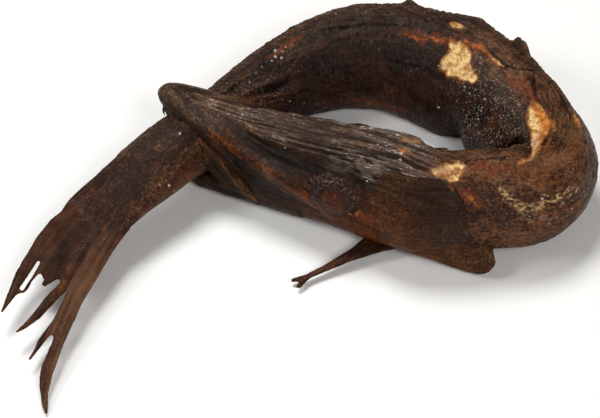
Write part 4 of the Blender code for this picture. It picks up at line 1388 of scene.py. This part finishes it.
def scatter_tree(tree, inputs, key, seed, shape):
    """Copies of one small shape on the skin, as thick as the named look says."""
    kind = "GeometryNodeInputNamedAttribute"
    amount = add_node(tree, kind, {"Name": key}, data_type="FLOAT").outputs[0]
    amount = add_node(tree, "ShaderNodeMath", {0: amount, 1: 2}, operation="POWER").outputs[0]
    cloud = {"Scale": per_mm(6.5), "Detail": 3}
    cloud = add_node(tree, "ShaderNodeTexNoise", cloud).outputs["Fac"]
    cloud = add_node(tree, "ShaderNodeMapRange", {"Value": cloud, 1: 0.45, 2: 0.61}).outputs[0]
    for factor in (cloud, inputs["density"]):
        amount = {0: amount, 1: factor}
        amount = add_node(tree, "ShaderNodeMath", amount, operation="MULTIPLY").outputs[0]
    spots = {"Mesh": inputs["Geometry"], "Density": amount, "Seed": seed}
    kind = "GeometryNodeDistributePointsOnFaces"
    spots = add_node(tree, kind, spots, distribute_method="RANDOM").outputs
    size = {2: inputs["smallest"], 3: inputs["largest"], "Seed": seed + 1}
    size = add_node(tree, "FunctionNodeRandomValue", size, data_type="FLOAT").outputs[1]
    spin = {0: (0, 0, 0), 1: (0.9, 0.9, 6.28), "Seed": seed + 2}
    spin = add_node(tree, "FunctionNodeRandomValue", spin, data_type="FLOAT_VECTOR").outputs[0]
    turned = {0: spots["Rotation"], 1: spin}
    kind = "FunctionNodeRotateRotation"
    turned = add_node(tree, kind, turned, rotation_space="LOCAL").outputs[0]
    grains = {"Points": spots["Points"], "Instance": shape(tree), "Rotation": turned}
    return add_node(tree, "GeometryNodeInstanceOnPoints", {**grains, "Scale": size}).outputs[0]


def grain_shape(tree):
    return add_node(tree, "GeometryNodeMeshIcoSphere", {"Radius": 1, "Subdivisions": 1}).outputs[0]


def shred_shape(tree):
    spike = {"Vertices": 5, "Radius Top": 0.15, "Radius Bottom": 0.6, "Depth": 3.2}
    return add_node(tree, "GeometryNodeMeshCone", spike).outputs[0]


torn_rim = skin_looks["flesh"] * (1 - skin_looks["flesh"]) * 4
skin_looks["shreds"] = 0.25 * skin_looks["flesh"] + torn_rim + 0.4 * skin_looks["rust"]
carrier_mesh = closed_loft("salt_carrier", skin, skin_looks, skin_straight)
salt = nodes_modifier(
    "salt_grains", carrier_mesh,
    lambda tree, inputs: scatter_tree(tree, inputs, "bloom", 5, grain_shape), salt_grain,
    {"density": 1.6e6, "smallest": 0.06 * MM, "largest": 0.19 * MM},
)
shreds = nodes_modifier(
    "flesh_shreds", carrier_mesh,
    lambda tree, inputs: scatter_tree(tree, inputs, "shreds", 9, shred_shape), shred_material,
    {"density": 1.2e6, "smallest": 0.10 * MM, "largest": 0.26 * MM},
)
# Drops of fat that ran out and dried white: distance from the snout, angle, radius.
FAT_DROPS = (
    (298, 146, 0.9), (300, 155, 0.8), (298, 162, 0.7), (294, 148, 0.5), (302, 158, 0.6),
    (296, 154, 0.5), (317, 214, 0.5), (316, 172, 0.5), (307, 160, 0.4), (311, 206, 0.35),
    (308, 216, 0.35), (304, 222, 0.3), (260, 131, 0.45), (270, 120, 0.3), (99, 79, 0.9),
    (97, 84, 0.5), (99, 86, 0.5), (90, 87, 0.45), (81, 72, 0.5), (84, 84, 0.35), (91, 45, 0.4),
    (57, 57, 0.4), (29, 125, 0.4), (223, 180, 0.45), (215, 212, 0.5), (205, 180, 0.6),
    (201, 181, 0.5), (193, 174, 0.6), (190, 191, 0.4), (191, 184, 0.4), (354, 181, 0.6),
    (369, 244, 0.5), (372, 229, 0.4), (367, 268, 0.4), (142, 53, 0.6), (297, 234, 0.4),
)
drop_table = np.array(FAT_DROPS)
drop_rows = np.round(drop_table[:, 0] / SKIN_STEP).astype(int)
drop_columns = np.round(drop_table[:, 1] / 360 * SKIN_SIDES).astype(int)
drop_points = bpy.data.meshes.new("drop_points")
drop_points.from_pydata((skin[drop_rows, drop_columns] * MM).tolist(), [], [])
drop_sizes = np.ascontiguousarray(drop_table[:, 2] * MM, dtype=np.float32)
drop_points.attributes.new("size", "FLOAT", "POINT").data.foreach_set("value", drop_sizes)


def drop_tree(tree, inputs):
    kind = "GeometryNodeInputNamedAttribute"
    size = add_node(tree, kind, {"Name": "size"}, data_type="FLOAT").outputs[0]
    size = {0: size, 1: inputs["swell"]}
    size = add_node(tree, "ShaderNodeMath", size, operation="MULTIPLY").outputs[0]
    ball = add_node(tree, "GeometryNodeMeshIcoSphere", {"Radius": 1, "Subdivisions": 3}).outputs[0]
    drops = {"Points": inputs["Geometry"], "Instance": ball, "Scale": size}
    return add_node(tree, "GeometryNodeInstanceOnPoints", drops).outputs[0]


# Dried fat: cloudy white over brown, smooth and wet looking.
fat_colours = ("#5c4233", "#cfbeae", 0.40, 0.62)
fat_material = cloudy_finish("dried_fat_drops", 1, 2, fat_colours, 0.25)
drops = nodes_modifier("fat_drops", drop_points, drop_tree, fat_material, {"swell": 0.85})
drop_spots = np.empty(3 * len(drops.vertices), np.float32)
drops.vertices.foreach_get("co", drop_spots)
at = drop_spots.reshape(-1, 3) / MM
lump = [0.32 * ripple(at[:, 0] / 0.6, at[:, 1] / 0.6, at[:, 2] / 0.6, 94 + k) for k in range(3)]
drops.vertices.foreach_set("co", ((at + np.transpose(lump)) * MM).astype(np.float32).ravel())

for mesh, material in ((salt, salt_grain), (shreds, shred_material), (drops, fat_material)):
    spots = np.empty(3 * len(mesh.vertices), np.float32)
    mesh.vertices.foreach_get("co", spots)
    spots[2::3] = np.maximum(spots[2::3], FLOOR_GAP * MM)
    mesh.vertices.foreach_set("co", spots)
    add_piece(mesh, material)
bpy.data.meshes.remove(carrier_mesh)
